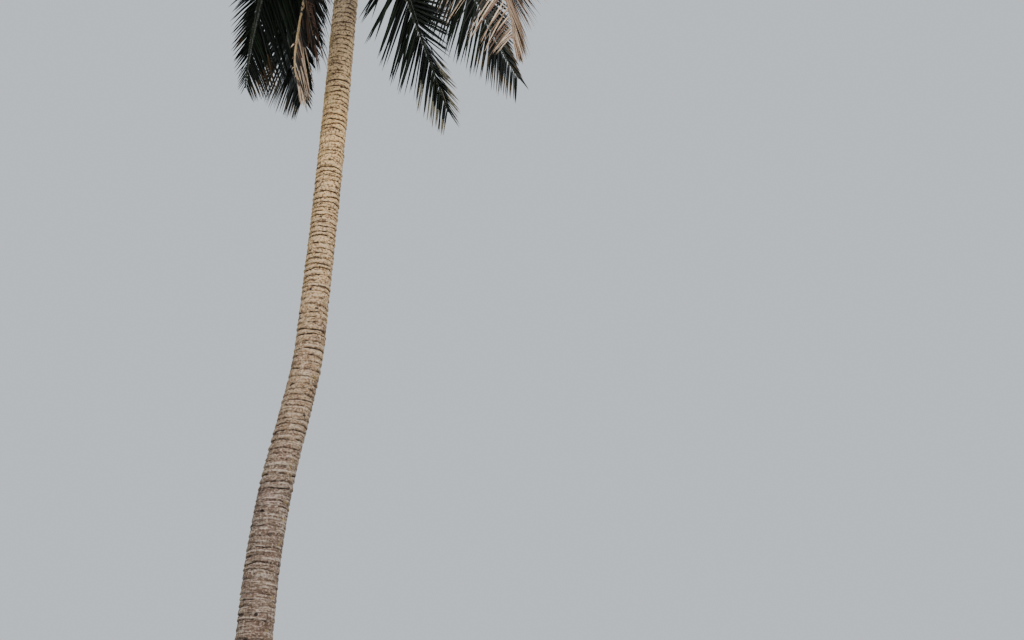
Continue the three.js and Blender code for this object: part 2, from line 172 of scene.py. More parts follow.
def linear(colour: str) -> Colour:
    """Turns an sRGB hex colour into the linear colour that a shader takes.

    Args:
        colour: six hex digits after a hash sign.

    Returns:
        Red, green and blue, and an alpha of one.
    """
    shares = [int(colour[i : i + 2], 16) / 255 for i in (1, 3, 5)]
    red, green, blue = [s / 12.92 if s <= 0.04045 else ((s + 0.055) / 1.055) ** 2.4 for s in shares]
    return red, green, blue, 1.0


def add_node(
    tree: bpy.types.NodeTree, kind: str, links: dict[str | int, object] | None = None, **settings: object
) -> bpy.types.Node:
    """Adds a shader node with its settings and links.

    Args:
        tree: tree that takes the node.
        kind: the node's type.
        links: what its sockets take, a value or another node's output.
        settings: the node's own properties.

    Returns:
        The node.
    """
    node = tree.nodes.new(kind)
    for name, value in settings.items():
        setattr(node, name, value)
    for name, value in (links or {}).items():
        if isinstance(value, bpy.types.NodeSocket):
            tree.links.new(value, node.inputs[name])
        else:
            node.inputs[name].default_value = value
    return node


def new_surface(name: str, roughness: float, ior: float) -> tuple[bpy.types.NodeTree, bpy.types.Node]:
    """Starts a material of one plain shader.

    Args:
        name: the material's name.
        roughness: roughness all over.
        ior: index of refraction.

    Returns:
        Its node tree and its shader.
    """
    material = bpy.data.materials.new(name)
    material.use_nodes = True
    tree = material.node_tree
    shader = tree.nodes["Principled BSDF"]
    shader.inputs["Roughness"].default_value = roughness
    shader.inputs["IOR"].default_value = ior
    return tree, shader


class Slot(Enum):
    """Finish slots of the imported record."""

    BARK = "bark"
    FIBRE = "fibre"
    SPEAR = "spear"
    LEAF = "leaf"
    DRY_LEAF = "dry_leaf"


@dataclass(frozen=True)
class Marks:
    """Irregular marks on bark: their width, how much flatter than wide they are, and their detail."""

    width: float
    flatness: float
    detail: float

    def on(self, tree: bpy.types.NodeTree, place: bpy.types.NodeSocket) -> bpy.types.NodeSocket:
        """Lays the marks on a material.

        Args:
            tree: the material's nodes.
            place: where each point of the surface is.

        Returns:
            Their value, about a half all over and more or less in them.
        """
        laid = add_node(tree, "ShaderNodeMapping", {"Vector": place, "Scale": (1.0, 1.0, self.flatness)})
        settings = {"Vector": laid.outputs["Vector"], "Scale": 1 / self.width, "Detail": self.detail}
        return add_node(tree, "ShaderNodeTexNoise", settings).outputs["Fac"]


@dataclass(frozen=True)
class WeatheredBark:
    """Old palm bark, matt and coarse: tan and speckled high up, pinkish grey and streaked below."""

    name: str = "weathered palm bark"
    # Tan high up: the bark's own tone, made brighter as painted light
    high: str = "#fbc88a"
    low: str = "#7b6554"
    painted_top_light: str = "#ffe9d6"
    rosy: str = "#8a665d"
    streak: str = "#4a3425"
    # Pale of the bark's marks, laid also as the painted highlight on the scars' lips
    pale: str = "#ffdca6"
    low_pale: str = "#cfbcaa"
    # Near black, for the fissures and for the painted shade in the scars' crevices and holes
    crevice: str = "#211710"
    lichen: str = "#a78d4e"
    # Heights between which the bark turns tan, and then paler towards the top as painted light, and how much
    # paler
    tan_from: float = 5.1
    tan_to: float = 8.8
    top_light_from: float = 8.8
    top_light_to: float = 10.6
    top_light_cover: float = 0.75
    # Height, below the ground, at which the mottle would have faded out, and its cover high up
    mottle_from: float = -6.0
    mottle_cover: float = 0.8
    # Heights at which specks begin and lie full, and their cover there
    speck_from: float = 4.4
    speck_to: float = 8.0
    speck_cover: float = 0.8
    fissure_cover: float = 0.45
    # Broad stains, and the fine mottle of the bark itself
    patches: Marks = Marks(0.20, 1.0, 4.0)
    mottle: Marks = Marks(0.019, 1.4, 6.0)
    # Corky grains, a few mm wide on real bark and drawn this coarse to show
    specks: Marks = Marks(0.018, 1.0, 1.0)
    # Fibres round the trunk: real ones are finer, drawn this coarse to show from a few steps away
    streaks: Marks = Marks(0.2, 12.0, 5.0)
    # Upright cracks between the rings of the oldest bark
    fissures: Marks = Marks(0.016, 0.16, 4.0)
    roughness: float = 0.88
    ior: float = 1.45
    bump: float = 0.018

    def material(self) -> bpy.types.Material:
        """Makes the finish.

        Returns:
            The finished material.
        """
        tree, shader = new_surface(self.name, self.roughness, self.ior)
        place = add_node(tree, "ShaderNodeTexCoord").outputs["Object"]
        height = add_node(tree, "ShaderNodeSeparateXYZ", {0: place}).outputs["Z"]
        scar = add_node(tree, "ShaderNodeAttribute", attribute_name="scar").outputs["Fac"]
        lichen = add_node(tree, "ShaderNodeAttribute", attribute_name="lichen").outputs["Fac"]
        patches, mottle, specks, streaks, fissures = (
            marks.on(tree, place)
            for marks in (self.patches, self.mottle, self.specks, self.streaks, self.fissures)
        )
        mottled, speckled, cracked = (
            add_node(
                tree,
                "ShaderNodeMapRange",
                {"Value": height, "From Min": start, "From Max": end, "To Max": cover},
            ).outputs["Result"]
            for start, end, cover in (
                (self.mottle_from, self.tan_to, self.mottle_cover),
                (self.speck_from, self.speck_to, self.speck_cover),
                (self.tan_to, self.tan_from, self.fissure_cover),
            )
        )
        tan = (height, self.tan_from, self.tan_to, 1.0)
        colour = self.coated(tree, linear(self.low), linear(self.high), *tan)
        pale = self.coated(tree, linear(self.low_pale), linear(self.pale), *tan)
        dark, crevice = linear(self.streak), linear(self.crevice)
        # Each coat, the value that places it, where it begins and lies full, and how much it hides
        for coat, value, start, end, cover in (
            # Painted light: the bark turns paler near the top
            (linear(self.painted_top_light), height, self.top_light_from, self.top_light_to, self.top_light_cover),
            (linear(self.rosy), patches, 0.50, 0.74, 0.6),
            (dark, streaks, 0.52, 0.64, 0.8),
            (pale, streaks, 0.47, 0.36, 0.7),
            (pale, mottle, 0.52, 0.66, mottled),
            (dark, mottle, 0.47, 0.36, mottled),
            (pale, specks, 0.56, 0.64, speckled),
            (dark, specks, 0.43, 0.35, speckled),
            (crevice, fissures, 0.56, 0.70, cracked),
            (linear(self.lichen), lichen, 0.0, 1.0, 1.0),
            # Painted highlight on the scars' lips and painted shade in the crevices under them
            (pale, scar, 0.62, 1.0, 0.85),
            (crevice, scar, 0.46, 0.16, 0.95),
        ):
            colour = self.coated(tree, colour, coat, value, start, end, cover)
        tree.links.new(colour, shader.inputs["Base Color"])
        relief = add_node(tree, "ShaderNodeMath", {0: mottle, 1: streaks}, operation="SUBTRACT").outputs[0]
        bump = add_node(tree, "ShaderNodeBump", {"Height": relief, "Strength": 1.0, "Distance": self.bump})
        tree.links.new(bump.outputs["Normal"], shader.inputs["Normal"])
        return bpy.data.materials[self.name]

    @staticmethod
    def coated(
        tree: bpy.types.NodeTree,
        colour: bpy.types.NodeSocket | Colour,
        coat: bpy.types.NodeSocket | Colour,
        value: bpy.types.NodeSocket,
        start: float,
        end: float,
        cover: bpy.types.NodeSocket | float,
    ) -> bpy.types.NodeSocket:
        """Lays a coat on the bark where a value says so.

        Args:
            tree: the material's nodes.
            colour: colour under the coat.
            coat: colour of the coat.
            value: value that places it.
            start: value at which it begins.
            end: value from which it lies full.
            cover: how much a full coat hides.

        Returns:
            The colour with its coat.
        """
        settings = {"Value": value, "From Min": start, "From Max": end, "To Max": cover}
        share = add_node(tree, "ShaderNodeMapRange", settings).outputs["Result"]
        return add_node(tree, "ShaderNodeMix", {0: share, 6: colour, 7: coat}, data_type="RGBA").outputs[2]


@dataclass(frozen=True)
class PlantFinish:
    """Skin of a leaf, stalk or sheath: one base colour with a soft mottle and fine streaks.

    The sizes are widths. A leaflet's veins are about 1 mm apart, and its streaks are drawn coarser to
    show.
    """

    name: str
    colour: str
    second: str
    roughness: float = 0.45
    ior: float = 1.45
    mottle_size: float = 0.06
    mottle_detail: float = 3.0
    # Values between which the mottle turns to the second colour
    second_from: float = 0.35
    second_to: float = 0.7
    streak_size: float = 0.004
    streak_detail: float = 2.0
    bump: float = 0.25
    bump_height: float = 0.001

    def material(self) -> bpy.types.Material:
        """Makes the finish.

        Returns:
            The finished material.
        """
        tree, shader = new_surface(self.name, self.roughness, self.ior)
        place = add_node(tree, "ShaderNodeTexCoord").outputs["Object"]
        mottle, streaks = (
            add_node(
                tree, "ShaderNodeTexNoise", {"Vector": place, "Scale": 1 / size, "Detail": detail}
            ).outputs["Fac"]
            for size, detail in (
                (self.mottle_size, self.mottle_detail),
                (self.streak_size, self.streak_detail),
            )
        )
        settings = {"Value": mottle, "From Min": self.second_from, "From Max": self.second_to}
        share = add_node(tree, "ShaderNodeMapRange", settings).outputs["Result"]
        both = {0: share, 6: linear(self.colour), 7: linear(self.second)}
        colour = add_node(tree, "ShaderNodeMix", both, data_type="RGBA").outputs[2]
        tree.links.new(colour, shader.inputs["Base Color"])
        relief = {"Height": streaks, "Strength": self.bump, "Distance": self.bump_height}
        bump = add_node(tree, "ShaderNodeBump", relief)
        tree.links.new(bump.outputs["Normal"], shader.inputs["Normal"])
        return bpy.data.materials[self.name]


# Waxy living leaflets: greens darkened almost to black, their own deep green deepened by painted shade, as
# the leaflets seen from below lie in shade
DEEP_GREEN = PlantFinish("waxy leaflet deep green", "#0b120b", "#151e12", roughness=0.4)
MID_GREEN = PlantFinish("waxy leaflet mid green", "#151e10", "#232f1a", roughness=0.36)
FRESH_GREEN = PlantFinish("waxy leaflet fresh green", "#27381b", "#3b5028", roughness=0.4)
OLIVE_GREEN = PlantFinish("waxy leaflet olive green", "#1d2410", "#2f3618", roughness=0.45)
# Ends of old leaflets that have begun to dry, greyish tan
WITHERED_END = PlantFinish("withering leaflet end", "#8a8069", "#b2a98e", roughness=0.7)
# Ends that have only turned, a dark olive brown
BRONZE_END = PlantFinish("bronzed leaflet end", "#3d301b", "#54442a", roughness=0.6)
# Dead leaflets: papery tans that bleach pink and white in the sun, browner where they are shaded
STRAW = PlantFinish("bleached papery leaflet", "#d3ae8a", "#f6e1c8", roughness=0.75)
TAN_LEAF = PlantFinish("tan papery leaflet", "#8a7058", "#a98c75", roughness=0.78)
RUST_LEAF = PlantFinish("rusty papery leaflet", "#6d4c3e", "#8f6d5c", roughness=0.8)
BROWN_LEAF = PlantFinish("brown papery leaflet", "#25221d", "#3b3730", roughness=0.8)
# Leaflet bases and ribs: smooth and a little shiny; the pale grey bases are partly their own colour and
# partly a painted highlight, and the living ribs are painted dark with the shade below them
PALE_BASE = PlantFinish("pale leaflet base", "#6b7068", "#989c94", roughness=0.4)
LIVING_RIB = PlantFinish("living rib", "#1f2417", "#34381f", roughness=0.4)
DRY_RIB = PlantFinish("dry rib", "#a68b62", "#cbb084", roughness=0.65)
# Matted sheath fibre and old leaf bases: coarse, dull and brown
SHEATH_FIBRE = PlantFinish(
    "matted sheath fibre",
    "#4a3726",
    "#7d6246",
    roughness=0.92,
    mottle_size=0.03,
    streak_size=0.006,
    bump=0.9,
)
# Unopened spear: pale yellow green and satin
SPEAR_SKIN = PlantFinish("folded spear skin", "#8d9a4d", "#aab168", roughness=0.5)


class Workshop:
    """Turns rings and arrays of points into pieces of the palm."""

    def __init__(self) -> None:
        """Starts with no material made."""
        self._materials: dict[str, bpy.types.Material] = {}

    def material(self, finish: WeatheredBark | PlantFinish) -> bpy.types.Material:
        """Gives a finish's material, which is made once.

        Args:
            finish: the finish.

        Returns:
            Its material.
        """
        if finish.name not in self._materials:
            self._materials[finish.name] = finish.material()
        return self._materials[finish.name]

    def finished(
        self,
        mesh: bpy.types.Mesh,
        finishes: Sequence[WeatheredBark | PlantFinish],
        nodes: Sequence[str],
    ) -> bpy.types.Object:
        """Makes a mesh a piece of the palm.

        Args:
            mesh: the piece's mesh, in place.
            finishes: its finishes, in the order of its material numbers.
            nodes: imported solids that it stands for.

        Returns:
            The piece.
        """
        piece = bpy.data.objects.new(mesh.name, mesh)
        bpy.context.scene.collection.objects.link(piece)
        for finish in finishes:
            mesh.materials.append(self.material(finish))
        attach(piece, BODY)
        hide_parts(*nodes)
        mesh.calc_loop_triangles()
        LOG.info("%s: %d triangles", piece.name, len(mesh.loop_triangles))
        return piece

    def sleeve(
        self,
        name: str,
        rings: np.ndarray,
        finish: WeatheredBark | PlantFinish,
        node: str,
        values: dict[str, np.ndarray] | None = None,
    ) -> bpy.types.Object:
        """Makes a piece of one closed sleeve.

        Args:
            name: the piece's name.
            rings: its points by ring, side and axis.
            finish: its finish.
            node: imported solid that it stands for.
            values: values by ring and side that its vertices keep, by name.

        Returns:
            The piece.
        """
        bm = bmesh.new()
        add_sleeve(bm, rings, 0, values)
        return self.finished(mesh_of(bm, name), [finish], [node])


def add_sleeve(
    bm: bmesh.types.BMesh,
    rings: np.ndarray,
    numbers: np.ndarray | int = 0,
    values: dict[str, np.ndarray] | None = None,
) -> None:
    """Adds a closed sleeve through rings of points.

    Args:
        bm: mesh that takes the sleeve.
        rings: points by ring, side and axis, anticlockwise seen from the last ring's end.
        numbers: material numbers of its faces by ring and side, or one for all.
        values: values by ring and side that its vertices keep, by name.
    """
    levels, sides = rings.shape[:2]
    kept = bm.verts.layers.float
    layers = {name: kept.get(name) or kept.new(name) for name in values or {}}
    numbers = np.broadcast_to(numbers, (levels, sides))
    made = bmesh.ops.create_grid(bm, x_segments=sides, y_segments=levels - 1, size=0.5)["verts"]
    faces = {face for vertex in made for face in vertex.link_faces}
    for face in faces:
        middle = face.calc_center_median()
        level, side = int((middle.y + 0.5) * (levels - 1)), int((middle.x + 0.5) * sides)
        face.material_index = int(numbers[level, side])
        face.smooth = True
    for vertex in made:
        level = round((vertex.co.y + 0.5) * (levels - 1))
        side = round((vertex.co.x + 0.5) * sides) % sides
        vertex.co = rings[level, side]
        for name, layer in layers.items():
            vertex[layer] = values[name][level, side]
    bmesh.ops.remove_doubles(bm, verts=made, dist=SEAM)
    rims = {edge for face in faces if face.is_valid for edge in face.edges if edge.is_boundary}
    ends = bmesh.ops.holes_fill(bm, edges=list(rims), sides=0)["faces"]
    for face in ends:
        face.material_index = int(numbers[0, 0])
        face.smooth = False


def round_grid(top: float, levels: int, sides: int) -> tuple[np.ndarray, np.ndarray]:
    """Lays out the rings of a round piece.

    Args:
        top: value at the last ring, with 0 at the first.
        levels: number of rings.
        sides: number of points in each.

    Returns:
        The value and the angle by ring and side.
    """
    angle = 2 * np.pi * np.arange(sides)[None] / sides
    return tuple(np.broadcast_arrays(np.linspace(0, top, levels)[:, None], angle))


def mesh_of(bm: bmesh.types.BMesh, name: str) -> bpy.types.Mesh:
    """Closes a mesh under construction, with its faces pointing outwards.

    Args:
        bm: the mesh under construction, which is freed.
        name: the name that the mesh takes.

    Returns:
        The mesh.
    """
    bmesh.ops.recalc_face_normals(bm, faces=bm.faces)
    mesh = bpy.data.meshes.new(name)
    bm.to_mesh(mesh)
    bm.free()
    return mesh


@dataclass
class Trunk:
    """Ringed trunk with its swollen foot, and the relief of its leaf scars."""

    # Swelling of the foot, the height over which it fades and how sharply, and its lobes
    flare: float = 0.098
    flare_height: float = 0.42
    flare_edge: float = 1.3
    lobes: int = 7
    lobe_depth: float = 0.012
    sides: int = 78
    # Height and spacing of the leaf scars, how much it varies, and the share of it kept free at the top
    scar_spacing: tuple[tuple[float, float], ...] = (
        (0.0, 0.085),
        (4.0, 0.064),
        (7.0, 0.060),
        (11.74, 0.046),
    )
    spacing_spread: float = 0.28
    top_room: float = 0.6
    # Share of the way from one scar to the next, and how far the bark stands out there
    ledge: tuple[tuple[float, float], ...] = (
        (0.0, -1.0),
        (0.12, -0.7),
        (0.24, 0.6),
        (0.48, 0.3),
        (0.74, 0.0),
        (0.92, -0.3),
    )
    scar_depth: float = 0.0135
    # Boldness of the scars, and how much it changes along each, by height
    boldness: tuple[tuple[float, float, float], ...] = (
        (0.0, 0.46, 0.3),
        (4.5, 0.52, 0.34),
        (7.5, 0.86, 0.6),
    )
    bold_waves: tuple[float, ...] = (1, 3, 6, 11)
    bold_limits: tuple[float, float] = (0.04, 1.3)
    bold_spread: tuple[float, float] = (0.55, 1.15)
    # How much bolder the scars are on the right near the top, and on the left near the ground: deeper in
    # relief, and darker there as painted shade on those sides
    shaded_side_boldness: float = 0.55
    # How far each scar tilts and wanders up and down, and how much of that it takes
    tilt: float = 0.012
    tilt_spread: tuple[float, float] = (0.2, 1.0)
    wander: float = 0.011
    wander_waves: tuple[float, ...] = (1, 2, 3, 5)
    wander_spread: tuple[float, float] = (0.4, 1.0)
    # How many scars near the ground are fainter and more level, and the height over which the top is level
    faint_scars: int = 2
    level_scars: int = 3
    level_top: float = 0.1
    # Knobs and swellings of the bark, and how much the knobs lighten and darken its colour, painted light on
    # the knobs and painted shade between them
    grain_depth: float = 0.0036
    knob_size: float = 0.022
    knob_stretch: float = 0.7
    knob_shade: float = 0.12
    swelling_size: float = 0.06
    swelling_share: float = 0.6
    # Small holes: how many, between which heights, and their width and height as shares of their size
    pits: int = 80
    pit_heights: tuple[float, float] = (0.3, 9.5)
    pit_depth: float = 0.011
    pit_size: float = 0.0125
    pit_width: tuple[float, float] = (0.6, 1.2)
    pit_height: tuple[float, float] = (0.4, 0.9)
    # Painted shade in the holes: how much darker they are drawn
    pit_shade: float = 0.9
    # Lichen: the width of its patches, how far its side is turned and narrowed, from where and how soon
    # it thickens, how dense it is, how much lies between its patches, and the most that it covers
    lichen_size: float = 0.11
    lichen_turn: float = 0.2  # radians
    lichen_side: float = 0.2
    lichen_from: float = 6.2
    lichen_rise: float = 3.0
    lichen_cover: float = 2.6
    lichen_ground: float = 0.2
    lichen_most: float = 0.55
    # Specks of it lower down, on the two sides: their width, how much they roughen the patches, which
    # sides and values they take, the most that they cover, and the height at which they end
    speck_size: float = 0.03
    speck_share: float = 0.5
    speck_sides: tuple[float, float] = (8 / 15, 13 / 15)
    speck_values: tuple[float, float] = (0.38, 0.58)
    speck_most: float = 0.75
    speck_top: float = 7.5
    seed: int = 11

    def centre(self, height: np.ndarray) -> np.ndarray:
        """Returns the middle of the trunk at each height."""
        return np.stack([along_table(TRUNK_LINE, 1, height), along_table(TRUNK_LINE, 2, height), height], -1)

    def radius(self, height: np.ndarray, angle: np.ndarray) -> np.ndarray:
        """Finds the plain radius, without scars.

        Args:
            height: heights above the ground.
            angle: angles round the trunk.

        Returns:
            The radius there.
        """
        swell = np.exp(-((np.maximum(height, 0) / self.flare_height) ** self.flare_edge))
        lobes = self.lobe_depth * swell * np.cos(self.lobes * angle)
        return along_table(TRUNK_RADII, 1, height) + self.flare * swell + lobes

    def depth_inside(self, points: np.ndarray) -> np.ndarray:
        """Finds how far points lie inside the trunk's skin.

        Args:
            points: any points.

        Returns:
            Their depths, less than nothing outside the trunk.
        """
        height = np.clip(points[..., 2], 0, TRUNK_TOP)
        away = points - self.centre(height)
        reach = np.hypot(away[..., 0], away[..., 1])
        return np.where(points[..., 2] > TRUNK_TOP, -1.0, self.radius(height, 0 * height) - reach)

    def scar_heights(self, rng: np.random.Generator) -> list[float]:
        """Draws the heights of the leaf scars.

        Args:
            rng: source of the random draws.

        Returns:
            The heights, from the ground to the top.
        """
        heights = [0.0]
        while True:
            plain = float(along_table(self.scar_spacing, 1, np.array(heights[-1])))
            following = heights[-1] + plain * rng.uniform(1 - self.spacing_spread, 1 + self.spacing_spread)
            if following > TRUNK_TOP - plain * self.top_room:
                return heights
            heights.append(following)

    def scars(
        self, rng: np.random.Generator, angle: np.ndarray
    ) -> tuple[list[np.ndarray], list[np.ndarray]]:
        """Draws the leaf scars round the trunk.

        Args:
            rng: source of the random draws.
            angle: angle of each side of the trunk.

        Returns:
            Each scar's height at each side, with the trunk's top last, and each scar's boldness there.
        """
        around = angle / (2 * np.pi)
        lines, strengths = [], []
        for index, height in enumerate(self.scar_heights(rng)):
            loose = min(1.0, index / self.level_scars, (TRUNK_TOP - height) / self.level_top)
            lean = self.tilt * rng.uniform(*self.tilt_spread) * np.cos(angle - rng.uniform(0, 2 * np.pi))
            wander = self.wander * ripple(rng, around, self.wander_waves) * rng.uniform(*self.wander_spread)
            lines.append(height + loose * (lean + wander))
            bold, change = (float(along_table(self.boldness, column, np.array(height))) for column in (1, 2))
            strength = bold + change * ripple(rng, around, self.bold_waves)
            # Painted shade: scars bolder and darker on the right high up and on the left low down
            strength = strength * (1 + self.shaded_side_boldness * mix(-1, 1, height / TRUNK_TOP) * np.cos(angle))
            strength = np.clip(strength, *self.bold_limits) * min(1.0, index / self.faint_scars)
            strengths.append(strength * rng.uniform(*self.bold_spread))
        return lines + [np.full(self.sides, TRUNK_TOP)], strengths

    def holes(self, rng: np.random.Generator, height: np.ndarray, angle: np.ndarray) -> np.ndarray:
        """Scatters the small holes.

        Args:
            rng: source of the random draws.
            height: height of each place of the trunk.
            angle: its angle round the trunk.

        Returns:
            How deep in a hole each place is, 0 outside them and 1 in a hole's middle.
        """
        total = np.zeros_like(height)
        for _ in range(self.pits):
            where = rng.uniform(*self.pit_heights)
            facing = rng.uniform(0, 2 * np.pi)
            wide = self.pit_size * rng.uniform(*self.pit_width)
            tall = self.pit_size * rng.uniform(*self.pit_height)
            around = (np.mod(angle - facing + np.pi, 2 * np.pi) - np.pi) * self.radius(height, angle)
            total += np.exp(-((around / wide) ** 2) - ((height - where) / tall) ** 2)
        return total

    def rings(self) -> tuple[np.ndarray, dict[str, np.ndarray]]:
        """Works out the trunk's skin.

        Returns:
            Its points by ring and side, and the painted light and shade of the scars and the lichen value
            there.
        """
        rng = np.random.default_rng(self.seed)
        angle = 2 * np.pi * np.arange(self.sides) / self.sides
        lines, strengths = self.scars(rng, angle)
        heights, ledges = [], []
        for low, high, strength in zip(lines, lines[1:], strengths):
            for share, rise in self.ledge:
                heights.append(mix(low, high, share))
                ledges.append(rise * strength)
        height = np.array(heights + lines[-1:])
        ledge = np.array(ledges + [np.zeros(self.sides)])
        turned = np.broadcast_to(angle, height.shape)
        outward = np.stack([np.cos(turned), np.sin(turned), np.zeros_like(turned)], -1)
        plain = self.centre(height) + outward * self.radius(height, turned)[..., None]
        knobs = surface_noise(plain * (1, 1, self.knob_stretch), self.knob_size)
        knobs = knobs + self.swelling_share * surface_noise(plain, self.swelling_size)
        holes = self.holes(rng, height, turned)
        relief = self.scar_depth * ledge + self.grain_depth * knobs - self.pit_depth * holes
        relief[[0, -1]] = 0
        points = plain + outward * relief[..., None]
        points[0, :, 2] = 0
        # Painted light and shade in the colour: pale where the ledge stands out and on the knobs, dark in
        # the crevices under the ledges and in the holes
        scar = (1 + ledge) / 2 + self.knob_shade * knobs - self.pit_shade * holes
        return points, {"scar": np.clip(scar, 0, 1), "lichen": self.lichen(plain, turned)}

    def lichen(self, plain: np.ndarray, angle: np.ndarray) -> np.ndarray:
        """Spreads the lichen.

        Args:
            plain: places of the trunk, without its relief.
            angle: their angles round the trunk.

        Returns:
            How much lichen covers each place.
        """
        height = plain[..., 2]
        specks = surface_noise(plain, self.speck_size)
        patches = surface_noise(plain, self.lichen_size) + self.speck_share * specks
        side = np.clip(-np.cos(angle + self.lichen_turn) - self.lichen_side, 0, 1)
        side = side * ramp(height, self.lichen_from, self.lichen_from + self.lichen_rise)
        side = side * ramp(height, TRUNK_TOP, TRUNK_TOP - self.lichen_rise)
        high = np.clip(self.lichen_cover * side * (self.lichen_ground + patches), 0, self.lichen_most)
        sides = ramp(np.abs(np.cos(angle)), *self.speck_sides)
        sides = sides * ramp(height, self.speck_top, self.speck_top - 1)
        low = sides * np.minimum(ramp(specks, *self.speck_values), self.speck_most)
        return np.maximum(high, low)

    def build(self, shop: Workshop) -> bpy.types.Object:
        """Builds the trunk's skin.

        Args:
            shop: workshop that finishes it.

        Returns:
            The trunk.
        """
        rings, values = self.rings()
        return shop.sleeve("ringed_trunk", rings, WeatheredBark(), "trunk", values)


@dataclass
class CrownHeart:
    """Heart of old leaf bases wrapped in matted fibre, at the trunk's top."""

    # Gap to the flat top of the trunk
    clearance: float = 0.0003
    # Height above the trunk's top and radius
    profile: tuple[tuple[float, float], ...] = (
        (0.0, 0.104),
        (0.09, 0.138),
        (0.33, 0.168),
        (0.64, 0.150),
        (0.93, 0.104),
        (1.16, 0.058),
    )
    levels: int = 70
    sides: int = 72
    # Lattice of old leaf bases: how steeply it winds, its spirals and its relief
    base_rows: float = 9.0
    base_columns: int = 5
    base_depth: float = 0.016
    # Relief of the fibre, the width of its strands and their width as a share of their length
    fibre_depth: float = 0.007
    fibre_size: float = 0.012
    fibre_slimness: float = 0.2

    def build(self, shop: Workshop) -> bpy.types.Object:
        """Builds the heart.

        Args:
            shop: workshop that finishes it.

        Returns:
            The heart.
        """
        rise, angle = round_grid(self.profile[-1][0], self.levels, self.sides)
        radius = along_table(self.profile, 1, rise)
        lattice = np.abs(np.sin(self.base_columns * angle / 2 + self.base_rows * rise))
        lattice = lattice * np.abs(np.sin(self.base_columns * angle / 2 - self.base_rows * rise))
        outward = np.stack([np.cos(angle), np.sin(angle), np.zeros_like(angle)], -1)
        middle = HEART_CENTRE + UP * (TRUNK_TOP + self.clearance + rise)[..., None]
        plain = middle + outward * radius[..., None]
        fibre = surface_noise(plain * (1, 1, self.fibre_slimness), self.fibre_size)
        points = plain + outward * (self.base_depth * (lattice - 0.5) + self.fibre_depth * fibre)[..., None]
        return shop.sleeve("leaf_base_heart", points, SHEATH_FIBRE, "crown_heart")


@dataclass
class SpearLeaf:
    """Unopened leaf that stands out of the heart, pleated along its length."""

    length: float = 2.25
    radius: float = 0.038
    lean: float = 4.0
    foot_rise: float = 1.1606
    # Share of the length and share of the radius
    stages: tuple[tuple[float, float], ...] = (
        (0.0, 0.9),
        (0.3, 1.0),
        (0.62, 0.72),
        (0.86, 0.4),
        (1.0, 0.12),
    )
    levels: int = 60
    sides: int = 28
    # Pleats: how many, how deep, the value at which they neither swell nor sink, and how far they wind
    pleats: int = 7
    pleat_depth: float = 0.14
    pleat_middle: float = 0.6
    winding: float = 2.4

    def build(self, shop: Workshop) -> bpy.types.Object:
        """Builds the spear.

        Args:
            shop: workshop that finishes it.

        Returns:
            The spear.
        """
        share, angle = round_grid(1, self.levels, self.sides)
        waves = np.abs(np.sin(self.pleats * angle / 2 + self.winding * share))
        pleats = 1 + self.pleat_depth * (waves - self.pleat_middle)
        radius = self.radius * along_table(self.stages, 1, share) * pleats
        rise = self.length * share
        bend = np.tan(np.radians(self.lean)) * rise * share
        foot = HEART_CENTRE + UP * (TRUNK_TOP + self.foot_rise)
        offset = np.stack([radius * np.cos(angle) - bend, radius * np.sin(angle), rise], -1)
        return shop.sleeve("folded_spear", foot + offset, SPEAR_SKIN, "spear_leaf")


